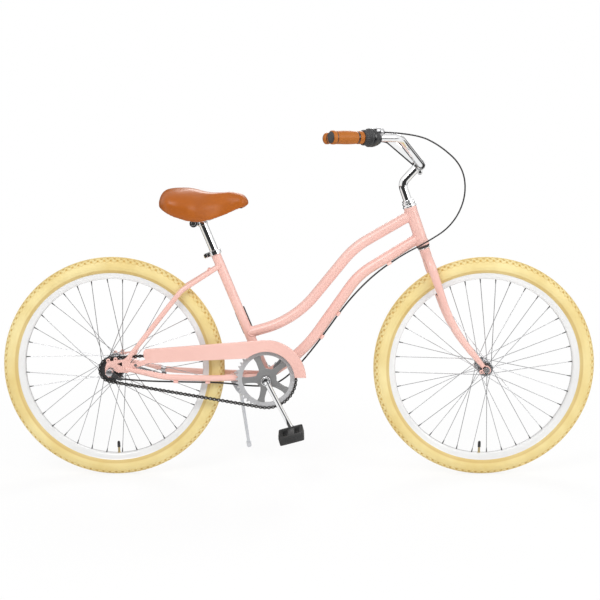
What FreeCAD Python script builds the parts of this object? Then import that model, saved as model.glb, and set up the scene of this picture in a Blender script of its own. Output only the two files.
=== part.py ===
import FreeCAD, Part
import math
import os

# A step-through beach cruiser bicycle, in millimetres.
# X runs forward, Y to the rider's left and Z up from the ground; the drive side is at -Y.
# Heights of corners and routes are given over the line of the two axles.

# Fits
RUN_FIT = 0.05
BODY_GAP = 0.3

# Wheels
WHEELBASE = 1115.0
TYRE_SECTION = 54.0
TYRE_SWEEP = 119.0
TYRE_SIDES = 8
RIM_RADIUS = 289.0
TYRE_HEIGHT = 44.0
RIM_DEPTH = 21.0
RIM_WIDTH = 34.0
RIM_BED = 28.0
RIM_NOSE = 22.0
RIM_CHANNEL = 8.0
SPOKE_COUNT = 36
SPOKE_RADIUS = 1.0
SPOKE_SIDES = 4
SPOKE_HEAD = 0.8
SPOKE_SPREAD = 2.0
SPOKE_STAGGER = 1.2
SPOKE_LEAD = 60.0
SPOKE_TURN = 3.5
VALVE_RADIUS = 3.0
VALVE_REACH = 36.0
FRONT_VALVE_ANGLE = -91.6
REAR_VALVE_ANGLE = -88.4

# Front hub and axle
FRONT_SPACING = 100.0
FRONT_AXLE_RADIUS = 4.5
FRONT_CONE_RADIUS = 8.0
FRONT_CONE_LENGTH = 20.0
FRONT_BARREL_RADIUS = 14.0
FRONT_FLANGE_RADIUS = 23.0
FRONT_FLANGE_PLACE = 34.0
FLANGE_THICKNESS = 3.0
FLANGE_EDGE = 4.0
FRONT_NUT_HEIGHT = 10.0
FRONT_NUT_RADIUS = 8.6
FRONT_AXLE_PROUD = 5.0

# Rear hub, axle, brake and driver
REAR_SPACING = 120.0
REAR_AXLE_RADIUS = 5.0
RIGHT_CONE_RADIUS = 10.0
LEFT_CONE_RADIUS = 12.0
REAR_BARREL_RADIUS = 27.0
REAR_END_RADIUS = 22.0
LEFT_CONE_DEPTH = 10.0
REAR_FLANGE_RADIUS = 36.0
REAR_FLANGE_PLACE = 29.0
REAR_SHELL_RIGHT = 40.0
REAR_SHELL_LEFT = 46.0
DRIVER_RADIUS = 17.0
DRIVER_OVERHANG = 7.0
DRIVER_NECK = 6.0
REAR_NUT_HEIGHT = 10.0
REAR_NUT_RADIUS = 9.6
RIGHT_AXLE_PROUD = 2.0
LEFT_AXLE_PROUD = 8.0
REAR_LOCKNUT_RADIUS = 10.0
REAR_LOCKNUT_HEIGHT = 2.0
BRAKE_ARM_THICKNESS = 4.0
BRAKE_ARM_LENGTH = 147.0
BRAKE_ARM_DROP = 15.5
BRAKE_ARM_WIDTH = 16.0
BRAKE_EYE_RADIUS = 13.0
BRAKE_TIP_RADIUS = 7.0
STRAP_THICKNESS = 1.6
STRAP_WIDTH = 14.0
BELL_CRANK_RADIUS = 11.0
BELL_CRANK_LENGTH = 20.0
LEVER_WIDTH = 8.0
LEVER_ROOT = 9.0
LEVER_TIP = 5.0
FERRULE_LENGTH = 16.0

# Chain drive
PITCH = 12.7
RING_TEETH = 44
COG_TEETH = 18
RING_WRAP = 24
COG_WRAP = 8
RUN_LINKS = 36
CHAIN_LINE = 47.0
TOOTH_THICKNESS = 2.5
TOOTH_HEIGHT = 3.3
TOOTH_DEPTH = 4.2
TOOTH_TIP = 1.0
TOOTH_ROOT = 3.1
ROLLER_RADIUS = 3.9
ROLLER_SIDES = 5
CHAIN_INNER_WIDTH = 3.3
PLATE_THICKNESS = 1.2
PLATE_HEIGHT = 8.4
PLATE_POINT = 0.45
RING_BAND_INNER = 71.0
RING_HUB_RADIUS = 31.0
RING_ARM_COUNT = 5
RING_ARM_WIDTH = 18.0
RING_ARM_ANGLE = 41.0

# Cranks and pedals
CRANK_LENGTH = 165.0
CRANK_ANGLE = -62.8
CRANK_ARM_RADIUS = 7.75
CRANK_ARM_PLACE = 79.0
CRANK_BOSS_RADIUS = 14.0
CRANK_NECK_RADIUS = 12.0
CRANK_BOSS_INNER = 42.0
CRANK_EYE_RADIUS = 11.0
CRANK_EYE_LIP = 1.0
SPINDLE_RADIUS = 8.5
SPINDLE_RECESS = 3.0
PEDAL_SPINDLE_RADIUS = 6.0
PEDAL_SHOULDER = 3.0
PEDAL_SHOULDER_RADIUS = 8.5
PEDAL_WIDTH = 100.0
PEDAL_LENGTH = 76.0
PEDAL_THICKNESS = 27.0
PEDAL_BARREL_RADIUS = 11.0
PEDAL_RAIL = 11.0
PEDAL_END = 12.0
PEDAL_CHAMFER = 3.0
PEDAL_WAIST = 4.0
PEDAL_POCKET = 3.0
RIGHT_PEDAL_TILT = -15.0
LEFT_PEDAL_TILT = 67.8

# Frame tubes
BOTTOM_BRACKET_DROP = 27.0
SHELL_RADIUS = 20.0
SHELL_BORE_RADIUS = 17.0
SHELL_WIDTH = 68.0
CUP_LIP = 3.0
CUP_DEPTH = 16.0
SEAT_ANGLE = 67.8
SEAT_TUBE_LENGTH = 405.0
SEAT_TUBE_RADIUS = 14.3
SEAT_SLIT = 2.0
SEAT_SLIT_DEPTH = 45.0
MAIN_TUBE_RADIUS = 15.9
FLAT_SIDES = 8
TOP_TUBE_ON_SEAT = 141.5
TOP_TUBE_ON_HEAD = 93.0
TOP_TUBE_CORNERS = [(-13.0, 143.0), (164.0, 361.0)]
TOP_TUBE_BENDS = [300.0, 250.0]
DOWN_TUBE_ON_HEAD = 20.7
DOWN_TUBE_CORNERS = [(15.0, 48.0), (178.0, 280.0)]
DOWN_TUBE_BENDS = [400.0, 220.0]
HEAD_ANGLE = 70.3
HEAD_TUBE_LENGTH = 115.0
HEAD_TUBE_RADIUS = 18.5
HEAD_TUBE_BORE = 15.0
CHAIN_STAY_RADIUS = 9.0
CHAIN_STAY_START = 22.0
CHAIN_STAY_ROOT = 14.0
CHAIN_STAY_CORNERS = [(-255.0, 43.0, -27.0), (-400.0, 53.0, -21.0)]
CHAIN_STAY_BENDS = [300.0, 250.0]
CHAIN_STAY_END = (46.0, 6.0)
SEAT_STAY_RADIUS = 7.5
SEAT_STAY_ON_SEAT = 362.0
SEAT_STAY_START = 7.0
SEAT_STAY_CORNER = (-348.0, 42.0, 237.0)
SEAT_STAY_BEND = 75.0
SEAT_STAY_END = (50.0, 36.0)
STAY_BRIDGE_RADIUS = 6.0
STAY_BRIDGE_CLEARANCE = 32.4
STAND_PLATE_LENGTH = 40.0
STAND_PLATE_THICKNESS = 5.0
STAND_PLATE_PLACE = -188.0
DROPOUT_THICKNESS = 5.0
DROPOUT_FIT = 0.1
DROPOUT_OUTLINE = [
    (-17.0, -10.0), (-17.0, 10.0), (-11.0, 27.0), (14.0, 32.0), (38.0, 34.0), (54.0, 47.0), (64.0, 42.0),
    (57.0, 24.0), (57.0, 2.0), (50.0, -6.0), (26.0, -4.0), (12.0, -17.0), (-8.0, -19.0),
]
DROPOUT_TAB = [(50.0, 6.0), (82.0, 12.0), (82.0, 24.0), (52.0, 24.0)]
DROPOUT_WINDOW = [(18.0, 21.0), (33.0, 27.0), (34.0, 12.0)]
DROPOUT_SLOT_LENGTH = 60.0
DROPOUT_SLOT_TURN = 26.0
EYELET_RADIUS = 5.6
EYELET_BORE = 2.1
EYELETS = [(-7.6, 31.0), (14.0, 35.0)]
RACK_EYE_PLACE = 0.36
RACK_EYE_LEAN = 60.0
RACK_EYE_WIDTH = 6.0
RACK_EYE_SUNK = 2.0

# Fork, headset and steering
FORK_RAKE = 54.0
CROWN_CLEARANCE = 67.0
CROWN_RADIUS = 15.5
CROWN_HEIGHT = 26.0
STEERER_RADIUS = 12.7
QUILL_RADIUS = 11.1
RACE_HEIGHT = 4.0
RACE_RADIUS = 18.0
CUP_SKIRT = 10.0
LOWER_CUP_HEIGHT = 11.2
LOWER_CUP_RADIUS = 20.5
UPPER_CUP_HEIGHT = 9.0
UPPER_CUP_RADIUS = 20.0
LOCKNUT_HEIGHT = 13.0
LOCKNUT_RADIUS = 19.0
HEADSET_CHAMFER = 3.0
BLADE_RADII = [13.0, 13.0, 11.0, 8.5]
BLADE_SHOULDER_DROP = 48.0
BLADE_SPREAD = 45.0
BLADE_ROOT = 3.0
BLADE_TUCK = 2.0
BLADE_SWEEP_START = 90.0
BLADE_SHOULDER_BEND = 40.0
BLADE_SWEEP_BEND = 310.0
FORK_TIP_THICKNESS = 4.5
FORK_TIP_RADIUS = 13.0
FORK_TIP_LENGTH = 17.0
FORK_TANG = 8.0
FORK_EYELET = (-15.0, -5.5)

# Stem, handlebar, grips and shifter
QUILL_DEPTH = 60.0
STEM_RADIUS = 12.5
STEM_RISE = 52.0
STEM_BEND = 28.0
CLAMP_X = 353.0
CLAMP_Z = 605.5
CLAMP_RADIUS = 16.5
CLAMP_WIDTH = 40.0
CLAMP_LUG_DROP = 24.0
CLAMP_LUG_RADIUS = 7.0
CLAMP_LUG_AHEAD = 3.0
CLAMP_SLIT = 2.0
BAR_RADIUS = 11.1
BAR_CENTRE_RADIUS = 12.7
BAR_CENTRE_LENGTH = 70.0
BAR_STRAIGHT = 55.0
BAR_CORNER = (275.0, 215.0, 682.0)
BAR_END = (85.0, 325.0, 683.0)
BAR_BENDS = (55.0, 60.0)
GRIP_RADIUS = 17.0
GRIP_FLANGE_RADIUS = 18.5
GRIP_FLANGE = 11.0
GRIP_GROOVE = 3.0
GRIP_GROOVE_DEPTH = 1.6
RIGHT_GRIP_LENGTH = 97.0
LEFT_GRIP_LENGTH = 126.0
PLUG_RADIUS = 15.5
PLUG_LENGTH = 4.0
TWIST_LENGTH = 24.0
TWIST_RADIUS = 21.0
TWIST_FLANGE_RADIUS = 25.0
TWIST_FLANGE = 7.0
HOUSING_LENGTH = 30.0
HOUSING_RADIUS = 19.0
HOUSING_DOME = 12.0
HOUSING_TOP = 30.0
BARREL_RADIUS = 4.2
BARREL_LENGTH = 18.0
BARREL_RISE = 17.0
CABLE_START = 0.6

# Seat post and saddle
POST_RADIUS = 12.7
POST_WALL = 1.8
POST_INSERTION = 115.0
POST_EXPOSED = 104.0
SEAT_CLAMP_RADIUS = 18.2
SEAT_CLAMP_HEIGHT = 14.0
SEAT_CLAMP_EAR = 17.0
SEAT_CLAMP_EAR_WIDTH = 18.0
SEAT_CLAMP_EAR_STEP = 1.0
CLAMP_BOLT_PLACE = 0.55
CLAMP_BOLT_HEAD = 5.0
CLAMP_BOLT_RADIUS = 3.0
SADDLE_COLLAR_RADIUS = 14.5
SADDLE_COLLAR_HEIGHT = 18.0
SADDLE_PIVOT_BACK = 24.0
SADDLE_PIVOT_DROP = 2.0
SADDLE_WEB_HEIGHT = 14.0
SADDLE_BOLT_PROUD = 4.0
SADDLE_PIVOT_RADIUS = 4.0
SADDLE_EAR_RADIUS = 11.0
SADDLE_EAR_WIDTH = 20.0
SADDLE_DISC_RADIUS = 12.0
SADDLE_DISC_WIDTH = 14.0
RAIL_RADIUS = 3.5
RAIL_SPREAD = 20.0
RAIL_BEND = 40.0
RAIL_LIFT = 10.0
RAIL_INSET = 14.0
RAIL_NOSE_SPREAD = 12.0
RAIL_TAIL_SPREAD = 42.0
RAIL_CLAMP_FRONT = 42.0
RAIL_CLAMP_BACK = 30.0
SADDLE_TAIL = -102.3
SADDLE_CHINE = 0.84
SADDLE_SHOULDER = 0.86
SADDLE_EDGE = 0.72
SADDLE_BELLY = 0.40
SADDLE_BASE_THICKNESS = 6.0
SADDLE_BASE_TOP = 51.0
SADDLE_BASE_SHARE = 0.78
# Each station: distance ahead of the tail, heights of underside and crown over the clamp, and half width
SADDLE_STATIONS = [
    (0.0, 36.0, 62.0, 52.0),
    (16.0, 30.0, 90.0, 90.0),
    (55.0, 17.0, 103.0, 114.0),
    (106.0, 6.0, 95.0, 104.0),
    (153.0, 11.0, 86.5, 70.0),
    (203.0, 28.0, 90.0, 44.0),
    (246.0, 42.0, 86.0, 35.0),
    (263.0, 55.0, 74.0, 22.0),
]

# Chain guard
GUARD_OUTER_RADIUS = 119.0
GUARD_INNER_RADIUS = 85.0
GUARD_SKIN = 1.5
GUARD_DEPTH = 8.5
GUARD_TAIL_TOP = (-453.0, 65.0)
GUARD_TAIL_BOTTOM = (-438.0, 24.0)
GUARD_BELLY_Z = 38.0
GUARD_FRONT_Z = -21.0
GUARD_TOP_ANGLE = 94.0
GUARD_TAIL_ROUND = 12.0
GUARD_TAB = [(66.0, 11.0), (90.0, 15.0), (66.0, 23.0)]
GUARD_TAB_ON_TAIL = [(8.0, 5.0), (8.0, 19.0)]
GUARD_REAR_BOLT = (74.0, 18.0)
GUARD_BOLT_RADIUS = 4.5
GUARD_BOLT_HEAD = 3.0
GUARD_BRACKET_ANGLE = 50.0
GUARD_BRACKET_REACH = 45.0
GUARD_BRACKET_WIDTH = 14.0
GUARD_BRACKET_PLACE = 38.0
GUARD_BRACKET_THICKNESS = 2.0
GUARD_BRACKET_ROOT = 8.0
GUARD_BRACKET_FOOT = 11.0
GUARD_BRACKET_RISE = 4.0
GUARD_BOSS_RADIUS = 6.0

# Kickstand
STAND_PIVOT_X = -180.0
STAND_PIVOT_Z = -71.0
STAND_PIN_RADIUS = 4.0
STAND_BLOCK_LENGTH = 34.0
STAND_BLOCK_RIGHT = -16.0
STAND_BLOCK_LEFT = 17.0
STAND_EYE_RADIUS = 9.5
STAND_EYE_WIDTH = 13.0
STAND_BLOCK_DEPTH = 14.0
STAND_BOLT_RADIUS = 9.0
STAND_BOLT_HEAD = 7.0
STAND_LEG_RADIUS = 5.25
STAND_FOOT = (-156.5, 95.0, -276.0)
STAND_FOOT_RADIUS = 7.5
STAND_FOOT_LENGTH = 20.0

# Gear cable: places chosen along its route, from the shifter to the rear hub
CABLE_RADIUS = 2.5
CABLE_SIDES = 6
CABLE_ARC_SHARE = 0.45
GUIDE_RADIUS = 4.6
GUIDE_BORE = 3.1
GUIDE_LENGTH = 14.0
CABLE_LOOP = [
    (318.0, -200.0, 697.0),
    (393.0, -152.0, 665.0),
    (461.0, -100.0, 602.0),
    (476.0, -66.0, 515.0),
    (440.0, -42.0, 431.0),
    (367.0, -28.0, 374.0),
    (318.0, -12.0, 347.0),
    (288.0, -4.0, 326.0),
]
CABLE_RUN = [
    (288.0, -4.0, 326.0),
    (191.4, -4.0, 266.4),
    (29.0, -4.0, 34.0),
    (-62.0, -8.0, -55.0),
    (-132.0, -22.0, -57.0),
    (-232.0, -39.6, -40.5),
    (-314.0, -47.0, -37.5),
    (-420.0, -58.0, -33.0),
    (-468.0, -74.0, -27.0),
    (-519.0, -90.0, -19.0),
]
CABLE_GUIDES = [(0, 0.2), (1, 0.45), (1, 0.75), (5, 0.5), (6, 0.5)]
GUIDES_ON_DOWN_TUBE = 2

V = FreeCAD.Vector
LEFT = V(0, 1, 0)
RIGHT = V(0, -1, 0)
UP = V(0, 0, 1)


# Shapes that repeat

def along(base, direction):
    """Placement that sets a shape's Z axis on a line through base."""
    return FreeCAD.Placement(base, FreeCAD.Rotation(UP, direction))


def rod(start, end, radius):
    """Round bar between two points."""
    return Part.makeCylinder(radius, (end - start).Length, start, end - start)


def prism(sides, radius, start, end):
    """Bar with a regular polygon for its section."""
    step = 2 * math.pi / sides
    corners = [V(radius * math.cos(i * step), radius * math.sin(i * step), 0) for i in range(sides)]
    face = Part.Face(Part.makePolygon(corners + corners[:1]))
    bar = face.extrude(V(0, 0, (end - start).Length))
    bar.Placement = along(start, end - start)
    return bar


def lathe(profile, base, direction):
    """Solid turned about a line: the profile lists radius and height along that line."""
    corners = [V(radius, 0, height) for radius, height in profile]
    face = Part.Face(Part.makePolygon(corners + corners[:1]))
    solid = face.revolve(V(0, 0, 0), UP, 360)
    solid.Placement = along(base, direction)
    return solid


def plate(outline, first_y, last_y):
    """Flat sheet with an outline of X and Z values, between two Y planes."""
    corners = [V(x, first_y, z) for x, z in outline]
    face = Part.Face(Part.makePolygon(corners + corners[:1]))
    return face.extrude(V(0, last_y - first_y, 0))


def box(low, high):
    """Block between two opposite corners."""
    size = high - low
    return Part.makeBox(size.x, size.y, size.z, low)


def bent_path(corners, bends):
    """Straight runs through the corners, each corner rounded by a tangent arc."""
    edges = []
    start = corners[0]
    for here, before, after, bend in zip(corners[1:-1], corners, corners[2:], bends):
        back = (before - here).normalize()
        ahead = (after - here).normalize()
        half = back.getAngle(ahead) / 2
        first = here + back * (bend / math.tan(half))
        last = here + ahead * (bend / math.tan(half))
        middle = here + (back + ahead).normalize() * (bend / math.sin(half) - bend)
        edges.append(Part.LineSegment(start, first).toShape())
        edges.append(Part.Arc(first, middle, last).toShape())
        start = last
    edges.append(Part.LineSegment(start, corners[-1]).toShape())
    return Part.Wire(edges)


def circle_at(centre, direction, radius):
    """Round section across a path."""
    return Part.Wire(Part.makeCircle(radius, centre, direction))


def polygon_at(centre, direction, radius, sides):
    """Section with flat sides across a path."""
    turn = along(centre, direction)
    step = 2 * math.pi / sides
    corners = [V(radius * math.cos(i * step), radius * math.sin(i * step), 0) for i in range(sides)]
    corners = [turn.multVec(corner) for corner in corners]
    return Part.makePolygon(corners + corners[:1])


def taper(start, end, first_radius, last_radius):
    """Straight round bar, tapered where its ends differ."""
    if first_radius == last_radius:
        return rod(start, end, first_radius)
    return Part.makeCone(first_radius, last_radius, (end - start).Length, start, end - start)


def pipe(corners, bends, radii):
    """Round bar through the corners: straight runs that may taper, and bends of one radius each."""
    pieces = []
    start = corners[0]
    for number, bend in enumerate(bends):
        here = corners[number + 1]
        back = (corners[number] - here).normalize()
        ahead = (corners[number + 2] - here).normalize()
        half = back.getAngle(ahead) / 2
        first = here + back * (bend / math.tan(half))
        last = here + ahead * (bend / math.tan(half))
        centre = here + (back + ahead).normalize() * (bend / math.sin(half))
        pieces.append(taper(start, first, radii[number], radii[number + 1]))
        disc = Part.Face(circle_at(first, back, radii[number + 1]))
        pieces.append(disc.revolve(centre, back.cross(first - centre), 180 - math.degrees(2 * half)))
        start = last
    pieces.append(taper(start, corners[-1], radii[-2], radii[-1]))
    return joined(pieces)


def flat_pipe(corners, bends, radius, sides):
    """Flat-sided bar along a bent path, for thin wires and cords."""
    path = bent_path(corners, bends)
    section = polygon_at(corners[0], corners[1] - corners[0], radius, sides)
    return path.makePipeShell([section], True, False)


def joined(solids):
    """One solid from several that touch or overlap."""
    return solids[0].multiFuse(solids[1:]).removeSplitter()


def mirrored(point):
    """The same place on the other side of the bicycle."""
    return V(point.x, -point.y, point.z)


def other_side(shape):
    """The same piece on the other side of the bicycle."""
    return shape.mirror(V(0, 0, 0), LEFT)


def save(shape, node):
    """Write one piece, or one group of like pieces, under its name."""
    shape.exportStep("parts/" + node + ".step")


# Main places

ring_radius = PITCH / 2 / math.sin(math.pi / RING_TEETH)
cog_radius = PITCH / 2 / math.sin(math.pi / COG_TEETH)
ring_half_wrap = math.radians(RING_WRAP * 180.0 / RING_TEETH)
cog_half_wrap = math.radians(COG_WRAP * 180.0 / COG_TEETH)
run_rise = ring_radius * math.sin(ring_half_wrap) - cog_radius * math.sin(cog_half_wrap)
run_length = math.sqrt((RUN_LINKS * PITCH) ** 2 - run_rise ** 2)
drive_centres = run_length - ring_radius * math.cos(ring_half_wrap) - cog_radius * math.cos(cog_half_wrap)

tyre_radius = RIM_RADIUS + TYRE_HEIGHT
rear = V(-WHEELBASE / 2, 0, tyre_radius)
front = V(WHEELBASE / 2, 0, tyre_radius)
bracket = rear + V(math.sqrt(drive_centres ** 2 - BOTTOM_BRACKET_DROP ** 2), 0, -BOTTOM_BRACKET_DROP)
drive_ahead = (bracket - rear).normalize()
drive_up = V(-drive_ahead.z, 0, drive_ahead.x)

seat_up = V(-math.cos(math.radians(SEAT_ANGLE)), 0, math.sin(math.radians(SEAT_ANGLE)))
steer_up = V(-math.cos(math.radians(HEAD_ANGLE)), 0, math.sin(math.radians(HEAD_ANGLE)))
steer_ahead = V(steer_up.z, 0, -steer_up.x)
steer_foot = front - steer_ahead * FORK_RAKE

axle_to_crown = tyre_radius + CROWN_CLEARANCE
lower_stack = RACE_HEIGHT + BODY_GAP + LOWER_CUP_HEIGHT
head_bottom = axle_to_crown + lower_stack
head_top = head_bottom + HEAD_TUBE_LENGTH
locknut_bottom = head_top + UPPER_CUP_HEIGHT + BODY_GAP
locknut_top = locknut_bottom + LOCKNUT_HEIGHT


def over_axle(x, y, z):
    """Place given by its height over the line of the two axles."""
    return V(x, y, tyre_radius + z)


def on_seat(length, side=0.0):
    """Place on the seat tube's line, measured up from the bottom bracket."""
    return bracket + seat_up * length + V(0, side, 0)


def on_steer(height, side=0.0):
    """Place on the steering line, measured up from the point nearest the front axle."""
    return steer_foot + steer_up * height + V(0, side, 0)


def at_distance(start, end, centre, distance):
    """Place on the way from start to end at a distance from the centre, as seen from the side."""
    flat = V(start.x - centre.x, 0, start.z - centre.z)
    way = V(end.x - start.x, 0, end.z - start.z)
    a, b = way.dot(way), way.dot(flat)
    share = (-b - math.sqrt(b * b - a * (flat.dot(flat) - distance ** 2))) / a
    return start + (end - start) * share


# Frame tubes, each coped to the tubes that it is welded to

def frame_tubes():
    head_solid = rod(on_steer(head_bottom), on_steer(head_top), HEAD_TUBE_RADIUS)
    seat_solid = rod(bracket, on_seat(SEAT_TUBE_LENGTH), SEAT_TUBE_RADIUS)
    shell_half = LEFT * (SHELL_WIDTH / 2)
    shell_solid = rod(bracket - shell_half, bracket + shell_half, SHELL_RADIUS)

    head = head_solid.cut(rod(on_steer(head_bottom), on_steer(head_top), HEAD_TUBE_BORE))
    save(head, "head_tube")

    top_corners = [on_seat(TOP_TUBE_ON_SEAT)]
    top_corners += [over_axle(x, 0, z) for x, z in TOP_TUBE_CORNERS]
    top_corners.append(on_steer(head_bottom + TOP_TUBE_ON_HEAD))
    top = pipe(top_corners, TOP_TUBE_BENDS, [MAIN_TUBE_RADIUS] * 4)
    top = top.cut(seat_solid).cut(head_solid)
    save(largest(top), "top_tube")

    down_corners = [bracket]
    down_corners += [over_axle(x, 0, z) for x, z in DOWN_TUBE_CORNERS]
    down_corners.append(on_steer(head_bottom + DOWN_TUBE_ON_HEAD))
    down_skin = pipe(down_corners, DOWN_TUBE_BENDS, [MAIN_TUBE_RADIUS] * 4)
    down = largest(down_skin.cut(seat_solid).cut(shell_solid).cut(head_solid))
    save(down, "down_tube")

    seat_bore = rod(bracket, on_seat(SEAT_TUBE_LENGTH), POST_RADIUS + RUN_FIT)
    slit = box(V(-SEAT_TUBE_RADIUS, -SEAT_SLIT / 2, -SEAT_SLIT_DEPTH), V(0, SEAT_SLIT / 2, 0))
    slit.Placement = along(on_seat(SEAT_TUBE_LENGTH), seat_up).multiply(slit.Placement)
    seat = largest(seat_solid.cut(seat_bore).cut(shell_solid).cut(slit))
    save(seat, "seat_tube")

    shell_bore = rod(bracket - shell_half, bracket + shell_half, SHELL_BORE_RADIUS)
    save(shell_solid.cut(shell_bore), "bottom_bracket_shell")
    return seat_solid, shell_solid, down_skin


def largest(shape):
    """The main solid left after coping, without the off-cuts inside the other tubes."""
    return max(shape.Solids, key=lambda solid: solid.Volume)


def dropout(axle, side, with_tab):
    """Rear frame end: a hooked plate with an axle slot, a window and two eyelets."""
    inner = REAR_SPACING / 2
    outer = inner + DROPOUT_THICKNESS
    body = plate(DROPOUT_OUTLINE, inner, outer)
    if with_tab:
        body = body.fuse(plate(DROPOUT_TAB, inner, outer))
    for x, z in EYELETS:
        body = body.fuse(rod(V(x, inner, z), V(x, outer, z), EYELET_RADIUS))
    for x, z in EYELETS:
        body = body.cut(rod(V(x, inner, z), V(x, outer, z), EYELET_BORE))
    body = body.cut(plate(DROPOUT_WINDOW, inner, outer))
    slot = REAR_AXLE_RADIUS + DROPOUT_FIT
    slot_box = box(V(0, inner, -slot), V(DROPOUT_SLOT_LENGTH, outer, slot))
    slot_box.rotate(V(0, 0, 0), LEFT, DROPOUT_SLOT_TURN)
    body = body.cut(rod(V(0, inner, 0), V(0, outer, 0), slot)).cut(slot_box)
    if side < 0:
        body = other_side(body)
    body.translate(axle)
    return body


def rear_triangle(seat_solid, shell_solid):
    plate_middle = REAR_SPACING / 2 + DROPOUT_THICKNESS / 2
    chain_corners = [V(bracket.x - CHAIN_STAY_ROOT, CHAIN_STAY_START, bracket.z)]
    chain_corners += [over_axle(x, y, z) for x, y, z in CHAIN_STAY_CORNERS]
    chain_corners.append(rear + V(CHAIN_STAY_END[0], plate_middle, CHAIN_STAY_END[1]))
    seat_corners = [on_seat(SEAT_STAY_ON_SEAT, SEAT_STAY_START), over_axle(*SEAT_STAY_CORNER)]
    seat_corners.append(rear + V(SEAT_STAY_END[0], plate_middle, SEAT_STAY_END[1]))
    right_end = dropout(rear, -1, True)
    left_end = dropout(rear, 1, False)
    save(right_end, "rear_dropout_right")
    save(left_end, "rear_dropout_left")

    chain_skin = pipe(chain_corners, CHAIN_STAY_BENDS, [CHAIN_STAY_RADIUS] * 4)
    seat_skin = pipe(seat_corners, [SEAT_STAY_BEND], [SEAT_STAY_RADIUS] * 3)
    rack_eye = seat_corners[0] + (seat_corners[1] - seat_corners[0]) * RACK_EYE_PLACE
    rack_lift = SEAT_STAY_RADIUS + EYELET_RADIUS - RACK_EYE_SUNK
    lean = math.radians(RACK_EYE_LEAN)
    eye_at = rack_eye + V(math.cos(lean), 0, math.sin(lean)) * rack_lift
    eye_half = LEFT * (RACK_EYE_WIDTH / 2)
    eye = rod(eye_at - eye_half, eye_at + eye_half, EYELET_RADIUS)
    eye = eye.cut(rod(eye_at - eye_half, eye_at + eye_half, EYELET_BORE)).cut(seat_skin)
    seat_stay = seat_skin.fuse(eye)
    for side, name, end in ((1, "left", left_end), (-1, "right", right_end)):
        chain_one = chain_skin if side > 0 else other_side(chain_skin)
        seat_one = seat_stay if side > 0 else other_side(seat_stay)
        chain_one = largest(chain_one.cut(shell_solid).cut(end))
        seat_one = largest(seat_one.cut(seat_solid).cut(end))
        save(chain_one, "chain_stay_" + name)
        save(seat_one, "seat_stay_" + name)

    high = at_distance(seat_corners[0], seat_corners[1], rear, tyre_radius + STAY_BRIDGE_CLEARANCE)
    bridge = rod(mirrored(high), high, STAY_BRIDGE_RADIUS)
    bridge = largest(bridge.cut(seat_skin).cut(other_side(seat_skin)))
    stay_z = tyre_radius + CHAIN_STAY_CORNERS[0][2]
    half = V(STAND_PLATE_LENGTH / 2, CHAIN_STAY_CORNERS[0][1], STAND_PLATE_THICKNESS / 2)
    middle = V(STAND_PLATE_PLACE, 0, stay_z)
    stand_plate = box(middle - half, middle + half)
    stand_plate = stand_plate.cut(chain_skin).cut(other_side(chain_skin))
    stand_plate = min(stand_plate.Solids, key=lambda solid: abs(solid.CenterOfMass.y))
    save(Part.makeCompound([bridge, stand_plate]), "stay_bridges")
    return chain_corners, chain_skin


# Wheels

def tyre(centre, node):
    """Tyre: a round section whose beads sit in the rim's channel."""
    section = TYRE_SECTION / 2
    ring = tyre_radius - section
    bed = RIM_RADIUS - RIM_CHANNEL
    profile = [(bed, -RIM_BED / 2), (RIM_RADIUS, -RIM_WIDTH / 2)]
    for number in range(TYRE_SIDES + 1):
        angle = math.radians(TYRE_SWEEP * (2 * number / TYRE_SIDES - 1))
        profile.append((ring + section * math.cos(angle), section * math.sin(angle)))
    profile += [(RIM_RADIUS, RIM_WIDTH / 2), (bed, RIM_BED / 2)]
    save(lathe(profile, centre, LEFT), node)


def rim(centre, valve_angle, node, valve_node):
    """Rim: a channel section with a valve standing in from it."""
    bed = RIM_RADIUS - RIM_CHANNEL
    inner = RIM_RADIUS - RIM_DEPTH
    profile = [
        (RIM_RADIUS, RIM_WIDTH / 2), (bed, RIM_BED / 2), (bed, -RIM_BED / 2),
        (RIM_RADIUS, -RIM_WIDTH / 2), (inner, -RIM_NOSE / 2), (inner, RIM_NOSE / 2),
    ]
    ring = lathe(profile, centre, LEFT)
    save(ring, node)
    ray = V(math.cos(math.radians(valve_angle)), 0, math.sin(math.radians(valve_angle)))
    stem = prism(FLAT_SIDES, VALVE_RADIUS, centre + ray * (inner + 1), centre + ray * (inner - VALVE_REACH))
    save(stem.cut(ring), valve_node)
    return ring


def spokes(centre, ring, flange_place, flange_radius):
    """Crossed spokes: each side of a flange carries every second spoke of that side."""
    bars = []
    inner = RIM_RADIUS - RIM_DEPTH
    hole_radius = flange_radius - FLANGE_EDGE
    seat = FLANGE_THICKNESS / 2 + SPOKE_RADIUS + SPOKE_HEAD
    for number in range(SPOKE_COUNT):
        side = 1 if number % 2 else -1
        lead = 1 if (number // 2) % 2 else -1
        rim_angle = math.radians(number * 360.0 / SPOKE_COUNT + SPOKE_TURN)
        hub_angle = rim_angle + math.radians(lead * SPOKE_LEAD)
        hub_y = side * (flange_place + lead * seat)
        rim_y = side * (SPOKE_SPREAD + lead * SPOKE_STAGGER)
        start = centre + V(hole_radius * math.cos(hub_angle), hub_y, hole_radius * math.sin(hub_angle))
        end = centre + V(inner * math.cos(rim_angle), rim_y, inner * math.sin(rim_angle))
        end += (end - start).normalize()
        bars.append(prism(SPOKE_SIDES, SPOKE_RADIUS, start, end).cut(ring))
    return bars


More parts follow.
